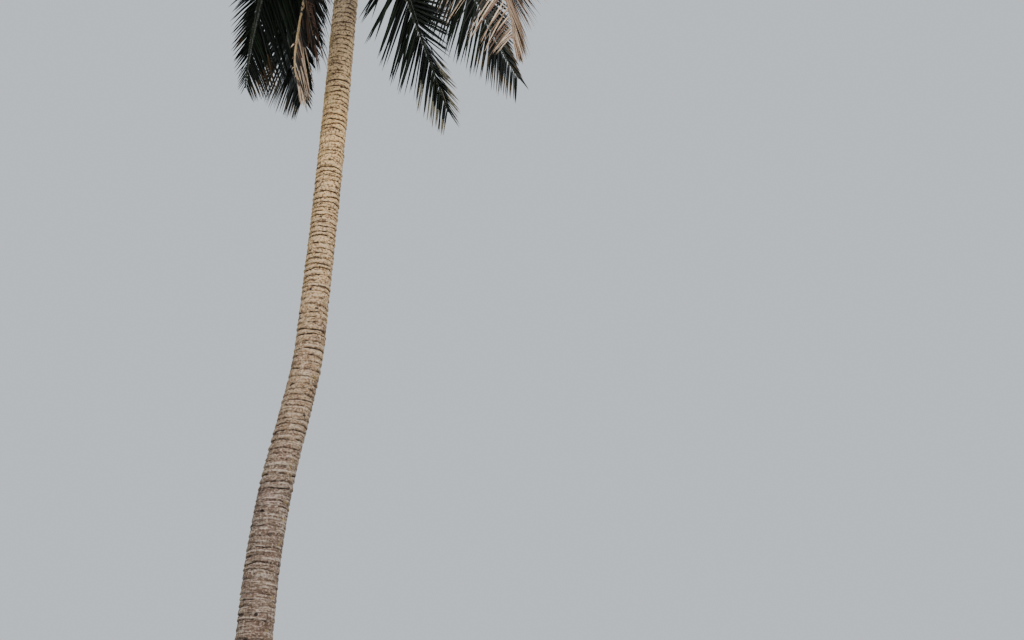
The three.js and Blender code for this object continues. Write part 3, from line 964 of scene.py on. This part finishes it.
@dataclass
class Frond:
    """One feather frond: how its rib runs and how its leaflets stand.

    azimuth is where it points and root is its height above the trunk's top. rise and fall are the rib's
    slopes at root and tip, and ease is how soon the one turns to the other. sway is how far the tip
    swings aside, power how late, and twist how far the blade is turned. girth is the rib's thickness
    against a common one. leaves are the sizes of the leaflets on its left and right, fold is how far
    they are raised above the rib's sides and droop is their fall at the first leaflets and at the tip.
    lost is the stretch that has shed its leaflets and end is the leaflets' size at the tip.
    withered is the share of the length from which their ends have turned, ends the number of the finish
    of such an end and turned how common it is there. limp is how common leaflets are that hang from a
    broken base, and dense how many leaflets there are for one on a common frond, both on the left and
    the right. tones, for a dry frond, are how common each dry finish is.
    """

    name: str
    azimuth: float
    root: float
    rise: float
    fall: float
    ease: float
    length: float
    sway: float
    power: float
    twist: float
    leaves: tuple[float, float] = (1.0, 1.0)
    fold: float = -6.0
    droop: tuple[float, float] = (0.7, 1.3)
    lost: tuple[float, float] = (1.0, 1.0)
    end: float = 0.34
    girth: float = 1.0
    withered: float = 1.0
    ends: int = 3
    turned: float = 0.8
    limp: tuple[float, float] = (0.1, 0.1)
    dense: tuple[float, float] = (1.0, 1.0)
    tones: tuple[float, ...] = ()
    line_steps: int = 48
    root_reach: float = 0.070
    twist_done: float = 0.7
    split_turn: float = 45.0
    points: np.ndarray = field(init=False, repr=False)
    aside: np.ndarray = field(init=False, repr=False)

    def __post_init__(self) -> None:
        """Runs the rib out from the heart, its slope easing from rise to fall."""
        azimuth = np.radians(self.azimuth)
        out = np.array([np.cos(azimuth), np.sin(azimuth), 0])
        self.aside = np.array([-np.sin(azimuth), np.cos(azimuth), 0])
        middle = (np.arange(self.line_steps) + 0.5) / self.line_steps
        slope = np.radians(mix(self.rise, self.fall, 1 - (1 - middle) ** self.ease))
        step = self.length / self.line_steps
        reach = self.root_reach + np.concatenate([[0], np.cumsum(np.cos(slope) * step)])
        height = TRUNK_TOP + self.root + np.concatenate([[0], np.cumsum(np.sin(slope) * step)])
        sway = self.sway * (np.arange(self.line_steps + 1) / self.line_steps) ** self.power
        self.points = HEART_CENTRE + out * reach[:, None] + self.aside * sway[:, None] + UP * height[:, None]

    @property
    def dry(self) -> bool:
        """Whether the frond is dead."""
        return bool(self.tones)

    @property
    def nodes(self) -> list[str]:
        """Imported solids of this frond: two where it bends far, otherwise one."""
        parts = ("_inner", "_outer") if self.rise - self.fall > self.split_turn else ("",)
        return [f"frond_{self.name}{part}" for part in parts]

    def at(self, shares: np.ndarray) -> tuple[np.ndarray, np.ndarray, np.ndarray, np.ndarray]:
        """Finds places along the rib.

        Args:
            shares: shares of its length.

        Returns:
            Points, directions, left sides and upper faces there.
        """
        shares = np.clip(shares, 0, 1)
        turns = np.gradient(self.points, axis=0)
        i = np.minimum((shares * self.line_steps).astype(int), self.line_steps - 1)
        t = (shares * self.line_steps - i)[:, None]
        start, end = self.points[i], self.points[i + 1]
        leave, meet = turns[i], turns[i + 1]
        point = (
            start * (1 + 2 * t) * (1 - t) ** 2
            + leave * t * (1 - t) ** 2
            + end * t * t * (3 - 2 * t)
            - meet * t * t * (1 - t)
        )
        along = unit(
            6 * t * (1 - t) * (end - start) + leave * (1 - t) * (1 - 3 * t) + meet * t * (3 * t - 2)
        )
        side = unit(self.aside - along * (along @ self.aside)[:, None])
        across = np.cross(along, side)
        turn = np.radians(self.twist * np.minimum(1, shares / self.twist_done))[:, None]
        side = side * np.cos(turn) + across * np.sin(turn)
        return point, along, side, np.cross(along, side)


@dataclass(frozen=True)
class RibSize:
    """Full size of a rib across: at its root, where the first leaflets leave it, and at its tip."""

    root: float
    waist: float
    tip: float
    narrowing: float = 0.6

    def at(self, shares: np.ndarray) -> np.ndarray:
        """Finds the rib's size.

        Args:
            shares: shares of its length.

        Returns:
            Its full size there.
        """
        stalk = mix(self.root, self.waist, (np.clip(shares, 0, BARE_STALK) / BARE_STALK) ** self.narrowing)
        blade = mix(self.waist, self.tip, (shares - BARE_STALK) / (1 - BARE_STALK))
        return np.where(shares < BARE_STALK, stalk, blade)


RIB_WIDTH = RibSize(root=0.128, waist=0.058, tip=0.012)
RIB_DEPTH = RibSize(root=0.046, waist=0.034, tip=0.013)


@dataclass
class Leaflets:
    """Leaflets of a frond: narrow keeled blades that leave the rib in pairs and bend with their weight."""

    # Distance between leaflets along the rib, the longest, and how length grows and falls off along it
    pitch: float = 0.032
    longest: float = 0.88
    first_size: float = 0.5
    full_at: float = 0.4
    taper: float = 1.4
    # Angle to the rib of the first leaflets and of those at the tip
    angles: tuple[float, float] = (74.0, 38.0)
    # Weight of the droop at a leaflet's base and tip, and how far the limp ones fall besides
    droop_weights: tuple[float, float] = (0.45, 0.75)
    limp_fall: tuple[float, float] = (0.25, 1.6)
    # Full width of a living leaflet and of one that has shrunk in drying
    width: float = 0.038
    dry_width: float = 0.024
    # Share of the leaflet's length and share of its width
    blade: tuple[tuple[float, float], ...] = (
        (0.0, 0.5),
        (0.05, 0.72),
        (0.15, 0.96),
        (0.32, 1.0),
        (0.52, 0.86),
        (0.74, 0.6),
        (0.9, 0.3),
        (1.0, 0.03),
    )
    keel: float = 24.0
    thickness: float = 0.0022
    # Shares of a blade's width and of its thickness: where it begins to thin out, and the least
    thin_from: float = 0.2
    thinnest: float = 0.15
    # How far out and up on the rib a leaflet's base sits, as shares of the rib's half
    base_out: float = 0.7
    base_lift: float = 0.35
    # Least distance to the trunk, the shortest share of a leaflet that is kept, and how many are missing
    trunk_gap: float = 0.012
    least_length: float = 0.3
    missing: float = 0.012
    # Where a leaflet sits in its own stretch of rib, and how far along the rib the last one may be
    place_spread: tuple[float, float] = (0.3, 0.7)
    last_share: float = 0.995
    # Disorder: of bunches and of single leaflets, in angle and fold (degrees), size, droop and turn
    angle_spread: tuple[float, float] = (2.6, 1.8)
    fold_spread: tuple[float, float] = (4.0, 2.5)
    size_spread: float = 0.05
    droop_spread: tuple[float, float] = (0.15, 0.05)
    turn_spread: float = 9.0
    # How the bunches follow one another, and how far size and droop may stray
    bunch_waves: tuple[float, ...] = (3, 5, 8, 13)
    fold_waves: tuple[float, ...] = (2, 4, 7)
    size_limits: tuple[float, float] = (-2.0, 1.2)
    droop_limits: tuple[float, float] = (0.3, 2.0)
    # How much more disorder and keel dry leaflets have
    dry_disorder: float = 1.8
    dry_keel: float = 20.0

    def profile(self, shares: np.ndarray, end: float) -> np.ndarray:
        """Finds how long the leaflets are along the rib.

        Args:
            shares: shares of the rib's length.
            end: their length at its tip.

        Returns:
            Their length as a share of the longest.
        """
        t = (shares - BARE_STALK) / (1 - BARE_STALK)
        rising = mix(self.first_size, 1, np.sin(np.clip(t / self.full_at, 0, 1) * np.pi / 2))
        falling = mix(1, end, np.clip((t - self.full_at) / (1 - self.full_at), 0, 1) ** self.taper)
        return np.where(t < self.full_at, rising, falling)

    @property
    def stages(self) -> np.ndarray:
        """Shares of a leaflet's length at which its blade has corners."""
        return np.array([share for share, _ in self.blade])

    def spines(
        self, start: np.ndarray, first: np.ndarray, length: np.ndarray, droop: np.ndarray
    ) -> tuple[np.ndarray, np.ndarray]:
        """Bends each leaflet's middle line down from the rib.

        Args:
            start: where each leaflet leaves the rib.
            first: its direction there.
            length: its length.
            droop: how heavily it hangs.

        Returns:
            Points along each leaflet, and its directions there.
        """
        stages = self.stages
        halfway = (stages[1:] + stages[:-1]) / 2
        sag = droop[:, None, None] * UP
        weights = mix(*self.droop_weights, halfway)[None, :, None]
        steps = unit(first[:, None] - sag * weights) * np.diff(stages)[None, :, None]
        steps = steps * length[:, None, None]
        offsets = np.concatenate([np.zeros_like(steps[:, :1]), np.cumsum(steps, axis=1)], axis=1)
        points = start[:, None] + offsets
        return points, unit(first[:, None] - sag * mix(*self.droop_weights, stages)[None, :, None])

    def blades(self, frond: Frond, trunk: Trunk, rng: np.random.Generator) -> tuple[np.ndarray, np.ndarray]:
        """Works out one frond's leaflets.

        Args:
            frond: the frond that carries them.
            trunk: the trunk that they stay clear of.
            rng: source of the random draws.

        Returns:
            Four corners at each stage of each leaflet, and each leaflet's share of the rib.
        """
        corners, shares = zip(*(self.blades_on(frond, side, trunk, rng) for side in (1, -1)))
        return np.concatenate(corners), np.concatenate(shares)

    def blades_on(
        self, frond: Frond, side: int, trunk: Trunk, rng: np.random.Generator
    ) -> tuple[np.ndarray, np.ndarray]:
        """Works out the leaflets on one side of a frond.

        Args:
            frond: the frond that carries them.
            side: 1 for its left and -1 for its right.
            trunk: the trunk that they stay clear of.
            rng: source of the random draws.

        Returns:
            Four corners at each stage of each leaflet, and each leaflet's share of the rib.
        """
        hand = 0 if side > 0 else 1
        count = round(frond.length * (1 - BARE_STALK) / self.pitch * frond.dense[hand])
        wild = self.dry_disorder if frond.dry else 1.0
        even = (np.arange(count) + rng.uniform(*self.place_spread, count)) / count
        shares = mix(BARE_STALK, self.last_share, even)
        point, along, left, upper = frond.at(shares)
        t = (shares - BARE_STALK) / (1 - BARE_STALK)
        bunch = ripple(rng, t, self.bunch_waves)
        loose = rng.normal(0, 1, (4, count))
        strayed = self.angle_spread[0] * bunch + self.angle_spread[1] * loose[0]
        angle = np.radians(mix(*self.angles, t) + wild * strayed)
        lifted = self.fold_spread[0] * ripple(rng, t, self.fold_waves) + self.fold_spread[1] * loose[1]
        fold = np.radians(frond.fold + wild * lifted)
        first = along * np.cos(angle)[:, None] + left * (side * np.sin(angle) * np.cos(fold))[:, None]
        first = unit(first + upper * (np.sin(angle) * np.sin(fold))[:, None])
        size = frond.leaves[hand] * (1 + self.size_spread * np.clip(loose[2], *self.size_limits))
        length = self.longest * size * self.profile(shares, frond.end)
        heavy = np.clip(1 + self.droop_spread[0] * wild * bunch, *self.droop_limits)
        droop = mix(*frond.droop, t) * heavy + self.droop_spread[1] * wild * np.abs(loose[3])
        limp = rng.uniform(size=count) < frond.limp[hand]
        droop = droop + limp * rng.uniform(*self.limp_fall, count)
        half = frond.girth * RIB_WIDTH.at(shares) / 2
        start = point + left * (side * half * self.base_out)[:, None]
        start = start + upper * (half * self.base_lift)[:, None]
        reach = self.clear_share(self.spines(start, first, length, droop)[0], trunk)
        shed = (shares > frond.lost[0]) & (shares < frond.lost[1])
        kept = (reach >= self.least_length) & ~shed & (rng.uniform(size=count) > self.missing * wild)
        spine, heading = self.spines(start[kept], first[kept], (length * reach)[kept], droop[kept])
        turn = np.radians(rng.normal(0, self.turn_spread * wild, kept.sum()))
        girth = np.sqrt(self.profile(shares[kept], frond.end))
        return self.keeled(spine, heading, side * along[kept], turn, girth, frond.dry), shares[kept]

    def clear_share(self, spine: np.ndarray, trunk: Trunk) -> np.ndarray:
        """Finds how much of each leaflet stays clear of the trunk.

        Args:
            spine: points along each leaflet.
            trunk: the trunk.

        Returns:
            Share of each leaflet's length, up to where it would meet the trunk.
        """
        inside = trunk.depth_inside(spine) > -self.trunk_gap
        inside[:, 0] = False
        return np.where(inside.any(1), self.stages[np.maximum(inside.argmax(1) - 1, 0)], 1.0)

    def keeled(
        self,
        spine: np.ndarray,
        heading: np.ndarray,
        forward: np.ndarray,
        turn: np.ndarray,
        girth: np.ndarray,
        dry: bool,
    ) -> np.ndarray:
        """Gives leaflets their blades, folded to a keel.

        Args:
            spine: points along each leaflet.
            heading: its directions there.
            forward: where its leading edge faces.
            turn: how far it is turned about its middle line.
            girth: its width as a share of the widest.
            dry: whether its frond is dead.

        Returns:
            Four corners at each stage of each leaflet.
        """
        forward, turn = forward[:, None], turn[:, None, None]
        edge = unit(forward - heading * np.sum(forward * heading, -1, keepdims=True))
        face = np.cross(edge, heading)
        edge, face = edge * np.cos(turn) + face * np.sin(turn), face * np.cos(turn) - edge * np.sin(turn)
        half = (self.dry_width if dry else self.width) * 0.5 * girth[:, None, None]
        half = half * np.array([share for _, share in self.blade])[None, :, None]
        keel = np.radians(self.keel + (self.dry_keel if dry else 0))
        low = spine - face * half * np.sin(keel)
        thick = self.thickness * np.clip(half / (self.width * self.thin_from), self.thinnest, 1)
        across = edge * half * np.cos(keel)
        ring = [low - across, spine + face * thick / 2, low + across, spine - face * thick / 2]
        return np.stack(ring, axis=2)


def mesh_of_blades(
    name: str,
    corners: np.ndarray,
    numbers: np.ndarray,
    end_numbers: np.ndarray,
    end_stage: int,
    base_number: int,
) -> bpy.types.Mesh:
    """Joins leaflets into one mesh.

    Args:
        name: the mesh's name.
        corners: four corners at each stage of each leaflet.
        numbers: material number of each leaflet.
        end_numbers: material number of the outer part of each leaflet.
        end_stage: stage at which the outer part begins.
        base_number: material number of the leaflets' pale bases.

    Returns:
        The mesh, each leaflet a closed blade in it.
    """
    count, stages = corners.shape[:2]
    around = np.arange(4)
    following = (around + 1) % 4
    level = 4 * np.arange(stages - 1)[:, None]
    skin = np.stack([level + around, level + following, level + 4 + following, level + 4 + around], -1)
    ends = np.array([[3, 2, 1, 0], 4 * (stages - 1) + around])
    quads = np.concatenate([skin.reshape(-1, 4), ends])
    faces = (quads[None] + (4 * stages * np.arange(count))[:, None, None]).reshape(-1, 4)
    finish = np.repeat(numbers[:, None], len(quads), axis=1)
    finish[:, 4 * end_stage :] = end_numbers[:, None]
    finish[:, :4] = base_number
    mesh = bpy.data.meshes.new(name)
    mesh.vertices.add(count * stages * 4)
    mesh.vertices.foreach_set("co", corners.reshape(-1).astype(np.float32))
    mesh.loops.add(faces.size)
    mesh.loops.foreach_set("vertex_index", faces.reshape(-1).astype(np.int32))
    mesh.polygons.add(len(faces))
    mesh.polygons.foreach_set("loop_start", np.arange(0, faces.size, 4, dtype=np.int32))
    mesh.polygons.foreach_set("material_index", finish.reshape(-1).astype(np.int32))
    mesh.update(calc_edges=True)
    mesh.validate()
    return mesh


class Age(Enum):
    """Groups of fronds that share their pieces."""

    YOUNG = "painted_top_light"
    GROWN = "grown"
    HANGING = "hanging"
    DRY = "dry"


@dataclass
class Crown:
    """All fronds: the spiral of young and grown ones, and the old ones that hang round the trunk."""

    trunk: Trunk
    leaflets: Leaflets = field(default_factory=Leaflets)
    golden_angle: float = 137.5
    spiral_count: int = 18
    # Values of the youngest and of the oldest frond of the spiral
    spiral_root: tuple[float, float] = (0.82, 0.40)
    spiral_rise: tuple[float, float] = (83.0, 14.0)
    spiral_bend: tuple[float, float] = (26.0, 82.0)
    spiral_length: tuple[float, float] = (2.9, 4.25)
    # Ages, from 0 to 1, at which a frond has its full length and its full girth
    long_by: float = 0.556
    stout_by: float = 0.5
    least_girth: float = 0.62
    # Fold and droop of the youngest and of the oldest, and the most sway and twist of any
    spiral_fold: tuple[float, float] = (28.0, 4.0)
    spiral_droop: tuple[float, float] = (0.15, 0.75)
    spiral_sway: float = 0.12
    spiral_twist: float = 26.0
    # How much less the old fronds hang on the side away from the viewer
    far_side_lift: float = 50.0
    # How slope and bend grow with age, how the slope eases, and how sway and twist go from frond to frond
    rise_growth: float = 0.9
    bend_growth: float = 0.8
    spiral_ease: float = 1.35
    sway_step: float = 2.4
    sway_start: float = 0.7
    twist_step: float = 1.7
    # Ribs: distance between rings, points in each, and how uneven they are
    rib_ring: float = 0.035
    rib_sides: int = 10
    rib_roughness: float = 0.10
    # The upper face is hollowed like a gutter: from which rise, and what is left of it
    gutter_from: float = 0.7
    gutter_rise: float = 0.45
    # Stubs of shed leaflets: how common and how high, and how far short of the next leaflets they end
    stub_share: float = 0.42
    stub_size: float = 0.7
    stub_reach: float = 0.03
    # Neighbouring living leaflets that share one green
    spray: int = 4
    # Stage of a leaflet's blade at which its turned end begins
    end_stage: int = 4
    dry_end_stage: int = 3
    leaflet_seed: int = 5
    rib_seed: int = 45

    def spiral(self) -> list[Frond]:
        """Lays out the fronds that still spread.

        Returns:
            The fronds, youngest and steepest first.
        """
        fronds = []
        for i in range(self.spiral_count):
            age = i / (self.spiral_count - 1)
            azimuth = (i * self.golden_angle) % 360
            lift = self.far_side_lift * age * (1 + np.sin(np.radians(azimuth))) / 2
            droop = mix(*self.spiral_droop, age)
            rise = mix(*self.spiral_rise, age**self.rise_growth) + lift
            fronds.append(
                Frond(
                    name=f"{i + 1:02d}",
                    azimuth=azimuth,
                    root=mix(*self.spiral_root, age),
                    rise=rise,
                    fall=rise - mix(*self.spiral_bend, age**self.bend_growth),
                    ease=self.spiral_ease,
                    length=mix(*self.spiral_length, min(1, age / self.long_by)),
                    sway=self.spiral_sway * np.sin(self.sway_step * i + self.sway_start),
                    power=2,
                    twist=self.spiral_twist * np.sin(self.twist_step * i),
                    girth=mix(self.least_girth, 1, min(1, age / self.stout_by)),
                    fold=mix(*self.spiral_fold, age),
                    droop=(droop, droop),
                )
            )
        return fronds

    def hanging(self) -> list[Frond]:
        """Lays out the old fronds that hang round the trunk.

        Returns:
            The fronds, from left to right and then in front.
        """
        return [
            Frond(
                name="left", azimuth=157.8, root=0.240, rise=-7.4, fall=-81.4, ease=3, length=2.838,
                sway=-0.127, power=5, twist=4.1, leaves=(0.983, 1.16), fold=-14.2, droop=(1.83, 0),
                end=0.16, withered=0.7, ends=4, turned=0.5, limp=(0.03, 0.03), dense=(1.0, 1.4),
            ),
            Frond(
                name="inner_left", azimuth=124.9, root=0.370, rise=32.1, fall=-125, ease=2,
                length=3.940, sway=0.134, power=3, twist=66.3, leaves=(0.903, 0.889), fold=-5.8,
                droop=(1.305, 1.537), withered=0.72, ends=4, turned=0.7, dense=(1.25, 1.25),
            ),
            Frond(
                name="dead_left", azimuth=204.5, root=0.200, rise=-55.4, fall=-82.2, ease=8,
                length=3.433, sway=0.850, power=5, twist=49.1, leaves=(0.2, 0.85), fold=-6,
                droop=(1, 1.2), girth=0.74, lost=(0.35, 0.66), withered=0.45, ends=0, turned=0.72,
                limp=(0.2, 0.3), dense=(0.14, 1.6), tones=(0.04, 0.12, 0.14, 0.70),
            ),
            Frond(
                name="behind", azimuth=146.1, root=0.446, rise=60, fall=-100.9, ease=4, length=2.755,
                sway=-0.124, power=3, twist=-43.2, leaves=(0.55, 1.3), fold=-11, droop=(0, 0),
                girth=0.72, withered=0.6, ends=2, turned=0.7, dense=(1.1, 1.3),
                tones=(0.02, 0.08, 0.06, 0.84),
            ),
            Frond(
                name="middle", azimuth=63.1, root=0.240, rise=-63.2, fall=-64.1, ease=14, length=2.701,
                sway=-0.376, power=1.2, twist=35.9, leaves=(0.889, 1.043), fold=-12.6,
                droop=(0, 0.084), withered=0.73, limp=(0.5, 0.02), dense=(1.05, 1.5),
            ),
            Frond(
                name="right", azimuth=65.3, root=0.330, rise=55.7, fall=-72.5, ease=1.51, length=3.789,
                sway=-0.496, power=3.66, twist=-16.3, leaves=(1.146, 0.75), fold=21.4,
                droop=(0.015, 1.556), end=0.3, withered=0.78, ends=4, limp=(0.2, 0.05),
            ),
            Frond(
                name="dry_right", azimuth=343.3, root=0.320, rise=-27.3, fall=-77, ease=2,
                length=3.633, sway=-0.600, power=7, twist=-142, leaves=(1.041, 0.813), fold=20,
                droop=(0, 1.613), limp=(0.1, 0.8), dense=(0.75, 4.2), tones=(0.34, 0.24, 0.12, 0.3),
            ),
            Frond(
                name="front_left", azimuth=244, root=0.310, rise=-4, fall=-86, ease=2, length=3.35,
                sway=0.15, power=2, twist=20,
            ),
            Frond(
                name="front_right", azimuth=288, root=0.350, rise=2, fall=-84, ease=2, length=3.40,
                sway=-0.16, power=2, twist=-25,
            ),
        ]

    def groups(self) -> dict[Age, list[Frond]]:
        """Sorts the fronds by the pieces that they share.

        Returns:
            The fronds of each group.
        """
        spiral, hanging = self.spiral(), self.hanging()
        half = self.spiral_count // 2
        return {
            Age.YOUNG: spiral[:half],
            Age.GROWN: spiral[half:],
            Age.HANGING: [frond for frond in hanging if not frond.dry],
            Age.DRY: [frond for frond in hanging if frond.dry],
        }

    def leaflet_finishes(self, age: Age) -> tuple[list[PlantFinish], list[float]]:
        """Chooses a group's leaflet finishes.

        Args:
            age: the group.

        Returns:
            The finishes, that of the bases last, and how common the first ones are.
        """
        if age is Age.DRY:
            return [STRAW, TAN_LEAF, RUST_LEAF, BROWN_LEAF, DRY_RIB], []
        if age is Age.HANGING:
            finishes = [DEEP_GREEN, MID_GREEN, OLIVE_GREEN, WITHERED_END, BRONZE_END, PALE_BASE]
            return finishes, [0.6, 0.36, 0.04]
        if age is Age.YOUNG:
            return [MID_GREEN, FRESH_GREEN, OLIVE_GREEN, WITHERED_END, PALE_BASE], [0.38, 0.54, 0.08]
        return [DEEP_GREEN, MID_GREEN, FRESH_GREEN, WITHERED_END, PALE_BASE], [0.3, 0.42, 0.28]

    def build_leaflets(self, shop: Workshop, age: Age, fronds: list[Frond]) -> bpy.types.Object:
        """Builds the leaflets of a group of fronds.

        Args:
            shop: workshop that finishes them.
            age: the group.
            fronds: its fronds.

        Returns:
            The leaflets, as one piece.
        """
        rng = np.random.default_rng(self.leaflet_seed + list(Age).index(age))
        finishes, weights = self.leaflet_finishes(age)
        corners, numbers, end_numbers = [], [], []
        for frond in fronds:
            blades, shares = self.leaflets.blades(frond, self.trunk, rng)
            common = frond.tones or weights
            spray = 1 if frond.dry else self.spray
            sprays = rng.choice(len(common), size=len(blades) // spray + 1, p=common)
            own = np.repeat(sprays, spray)[: len(blades)]
            dried = rng.uniform(size=len(blades)) < (shares > frond.withered) * frond.turned
            corners.append(blades)
            numbers.append(own)
            end_numbers.append(np.where(dried, frond.ends, own))
        mesh = mesh_of_blades(
            f"{age.value}_frond_leaflets",
            np.concatenate(corners),
            np.concatenate(numbers),
            np.concatenate(end_numbers),
            self.dry_end_stage if age is Age.DRY else self.end_stage,
            len(finishes) - 1,
        )
        return shop.finished(mesh, finishes, self.nodes(fronds))

    def build_ribs(self, shop: Workshop, age: Age, fronds: list[Frond]) -> bpy.types.Object:
        """Builds the stalks and ribs of a group of fronds.

        Args:
            shop: workshop that finishes them.
            age: the group.
            fronds: its fronds.

        Returns:
            The ribs, as one piece.
        """
        rng = np.random.default_rng(self.rib_seed + list(Age).index(age))
        bm = bmesh.new()
        angle = 2 * np.pi * np.arange(self.rib_sides) / self.rib_sides
        for frond in fronds:
            levels = round(frond.length / self.rib_ring)
            shares = np.linspace(0, 1, levels)
            point, _, left, upper = frond.at(shares)
            knots = 1 + self.rib_roughness * rng.uniform(-1, 1, (levels, self.rib_sides))
            shed_from, shed_to = np.array(frond.lost) - self.stub_reach
            stripped = (shares > shed_from) & (shares < shed_to)
            stubs = rng.uniform(size=(levels, self.rib_sides)) < self.stub_share
            knots = knots + self.stub_size * stubs * stripped[:, None]
            wide = (frond.girth * RIB_WIDTH.at(shares) / 2)[:, None] * knots
            deep = (frond.girth * RIB_DEPTH.at(shares) / 2)[:, None] * knots
            rise = np.where(np.sin(angle) > self.gutter_from, self.gutter_rise, 1.0) * np.sin(angle)
            rings = (
                point[:, None]
                + left[:, None] * (wide * np.cos(angle))[..., None]
                + upper[:, None] * (deep * rise)[..., None]
            )
            bare = stripped[:, None] & ~stubs
            add_sleeve(bm, rings, np.where(bare, 2, int(frond.lost[0] < 1)))
        # A common rib, then one that has shed leaflets and the bare stretch of it
        finishes = [TAN_LEAF, DRY_RIB, BROWN_LEAF] if age is Age.DRY else [LIVING_RIB]
        mesh = mesh_of(bm, f"{age.value}_frond_ribs")
        return shop.finished(mesh, finishes, self.nodes(fronds))

    @staticmethod
    def slot(age: Age) -> Slot:
        """Returns the record's slot of a group of fronds."""
        return Slot.DRY_LEAF if age is Age.DRY else Slot.LEAF

    @staticmethod
    def nodes(fronds: list[Frond]) -> list[str]:
        """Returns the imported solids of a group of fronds."""
        return [node for frond in fronds for node in frond.nodes]

    def build(self, shop: Workshop) -> list[bpy.types.Object]:
        """Builds every group of fronds.

        Args:
            shop: workshop that finishes them.

        Returns:
            The pieces.
        """
        pieces = []
        for age, fronds in self.groups().items():
            pieces.append(self.build_ribs(shop, age, fronds))
            pieces.append(self.build_leaflets(shop, age, fronds))
        return pieces


@dataclass
class Studio:
    """Pale floor, soft even light, and a camera at the photograph's viewing angle."""

    floor_reach: float = 40.0
    floor_name: str = "studio floor paint"
    floor_colour: str = "#d9d8d4"
    floor_roughness: float = 0.8
    floor_ior: float = 1.5
    air_colour: str = "#dfe6ec"
    air_strength: float = 0.9
    key_strength: float = 2.4
    key_softness: float = 14.0
    # Where the key light comes from
    key_from: tuple[float, float, float] = (0.36, -0.86, 0.36)
    eye: tuple[float, float, float] = (2.024, -10.87, 1.6)
    pitch: float = 24.5
    lens: float = 50.0
    sensor: float = 36.0
    farthest: float = 200.0

    def build(self) -> None:
        """Sets up the floor, the light and the camera."""
        self.lay_floor()
        self.hang_lights()
        self.place_camera()

    def lay_floor(self) -> None:
        """Lays the floor at ground level."""
        bm = bmesh.new()
        bmesh.ops.create_grid(bm, x_segments=4, y_segments=4, size=self.floor_reach)
        mesh = bpy.data.meshes.new("studio_floor")
        bm.to_mesh(mesh)
        bm.free()
        floor = bpy.data.objects.new("studio_floor", mesh)
        bpy.context.scene.collection.objects.link(floor)
        _, shader = new_surface(self.floor_name, self.floor_roughness, self.floor_ior)
        shader.inputs["Base Color"].default_value = linear(self.floor_colour)
        mesh.materials.append(bpy.data.materials[self.floor_name])

    def hang_lights(self) -> None:
        """Hangs one broad soft light and fills the air with pale light."""
        world = bpy.data.worlds.new("studio air")
        world.use_nodes = True
        air = world.node_tree.nodes["Background"]
        air.inputs["Color"].default_value = linear(self.air_colour)
        air.inputs["Strength"].default_value = self.air_strength
        bpy.context.scene.world = world
        light = bpy.data.lights.new("key", "SUN")
        light.energy = self.key_strength
        light.angle = np.radians(self.key_softness)
        key = bpy.data.objects.new("key", light)
        key.rotation_euler = Vector(self.key_from).to_track_quat("Z", "Y").to_euler()
        bpy.context.scene.collection.objects.link(key)

    def place_camera(self) -> None:
        """Places the camera at the photograph's eye."""
        lens = bpy.data.cameras.new("eye")
        lens.lens = self.lens
        lens.sensor_width = self.sensor
        lens.sensor_fit = "HORIZONTAL"
        lens.clip_end = self.farthest
        camera = bpy.data.objects.new("eye", lens)
        camera.location = self.eye
        camera.rotation_euler = (np.radians(90 + self.pitch), 0.0, 0.0)
        bpy.context.scene.collection.objects.link(camera)
        bpy.context.scene.camera = camera


def main() -> None:
    """Builds the studio and the palm, piece by piece."""
    logging.basicConfig(level=logging.INFO, format="%(name)s: %(message)s")
    Studio().build()
    shop = Workshop()
    trunk = Trunk()
    trunk.build(shop)
    CrownHeart().build(shop)
    SpearLeaf().build(shop)
    pieces = Crown(trunk).build(shop)
    LOG.info("%d pieces of fronds", len(pieces))


if __name__ == "__main__":
    main()
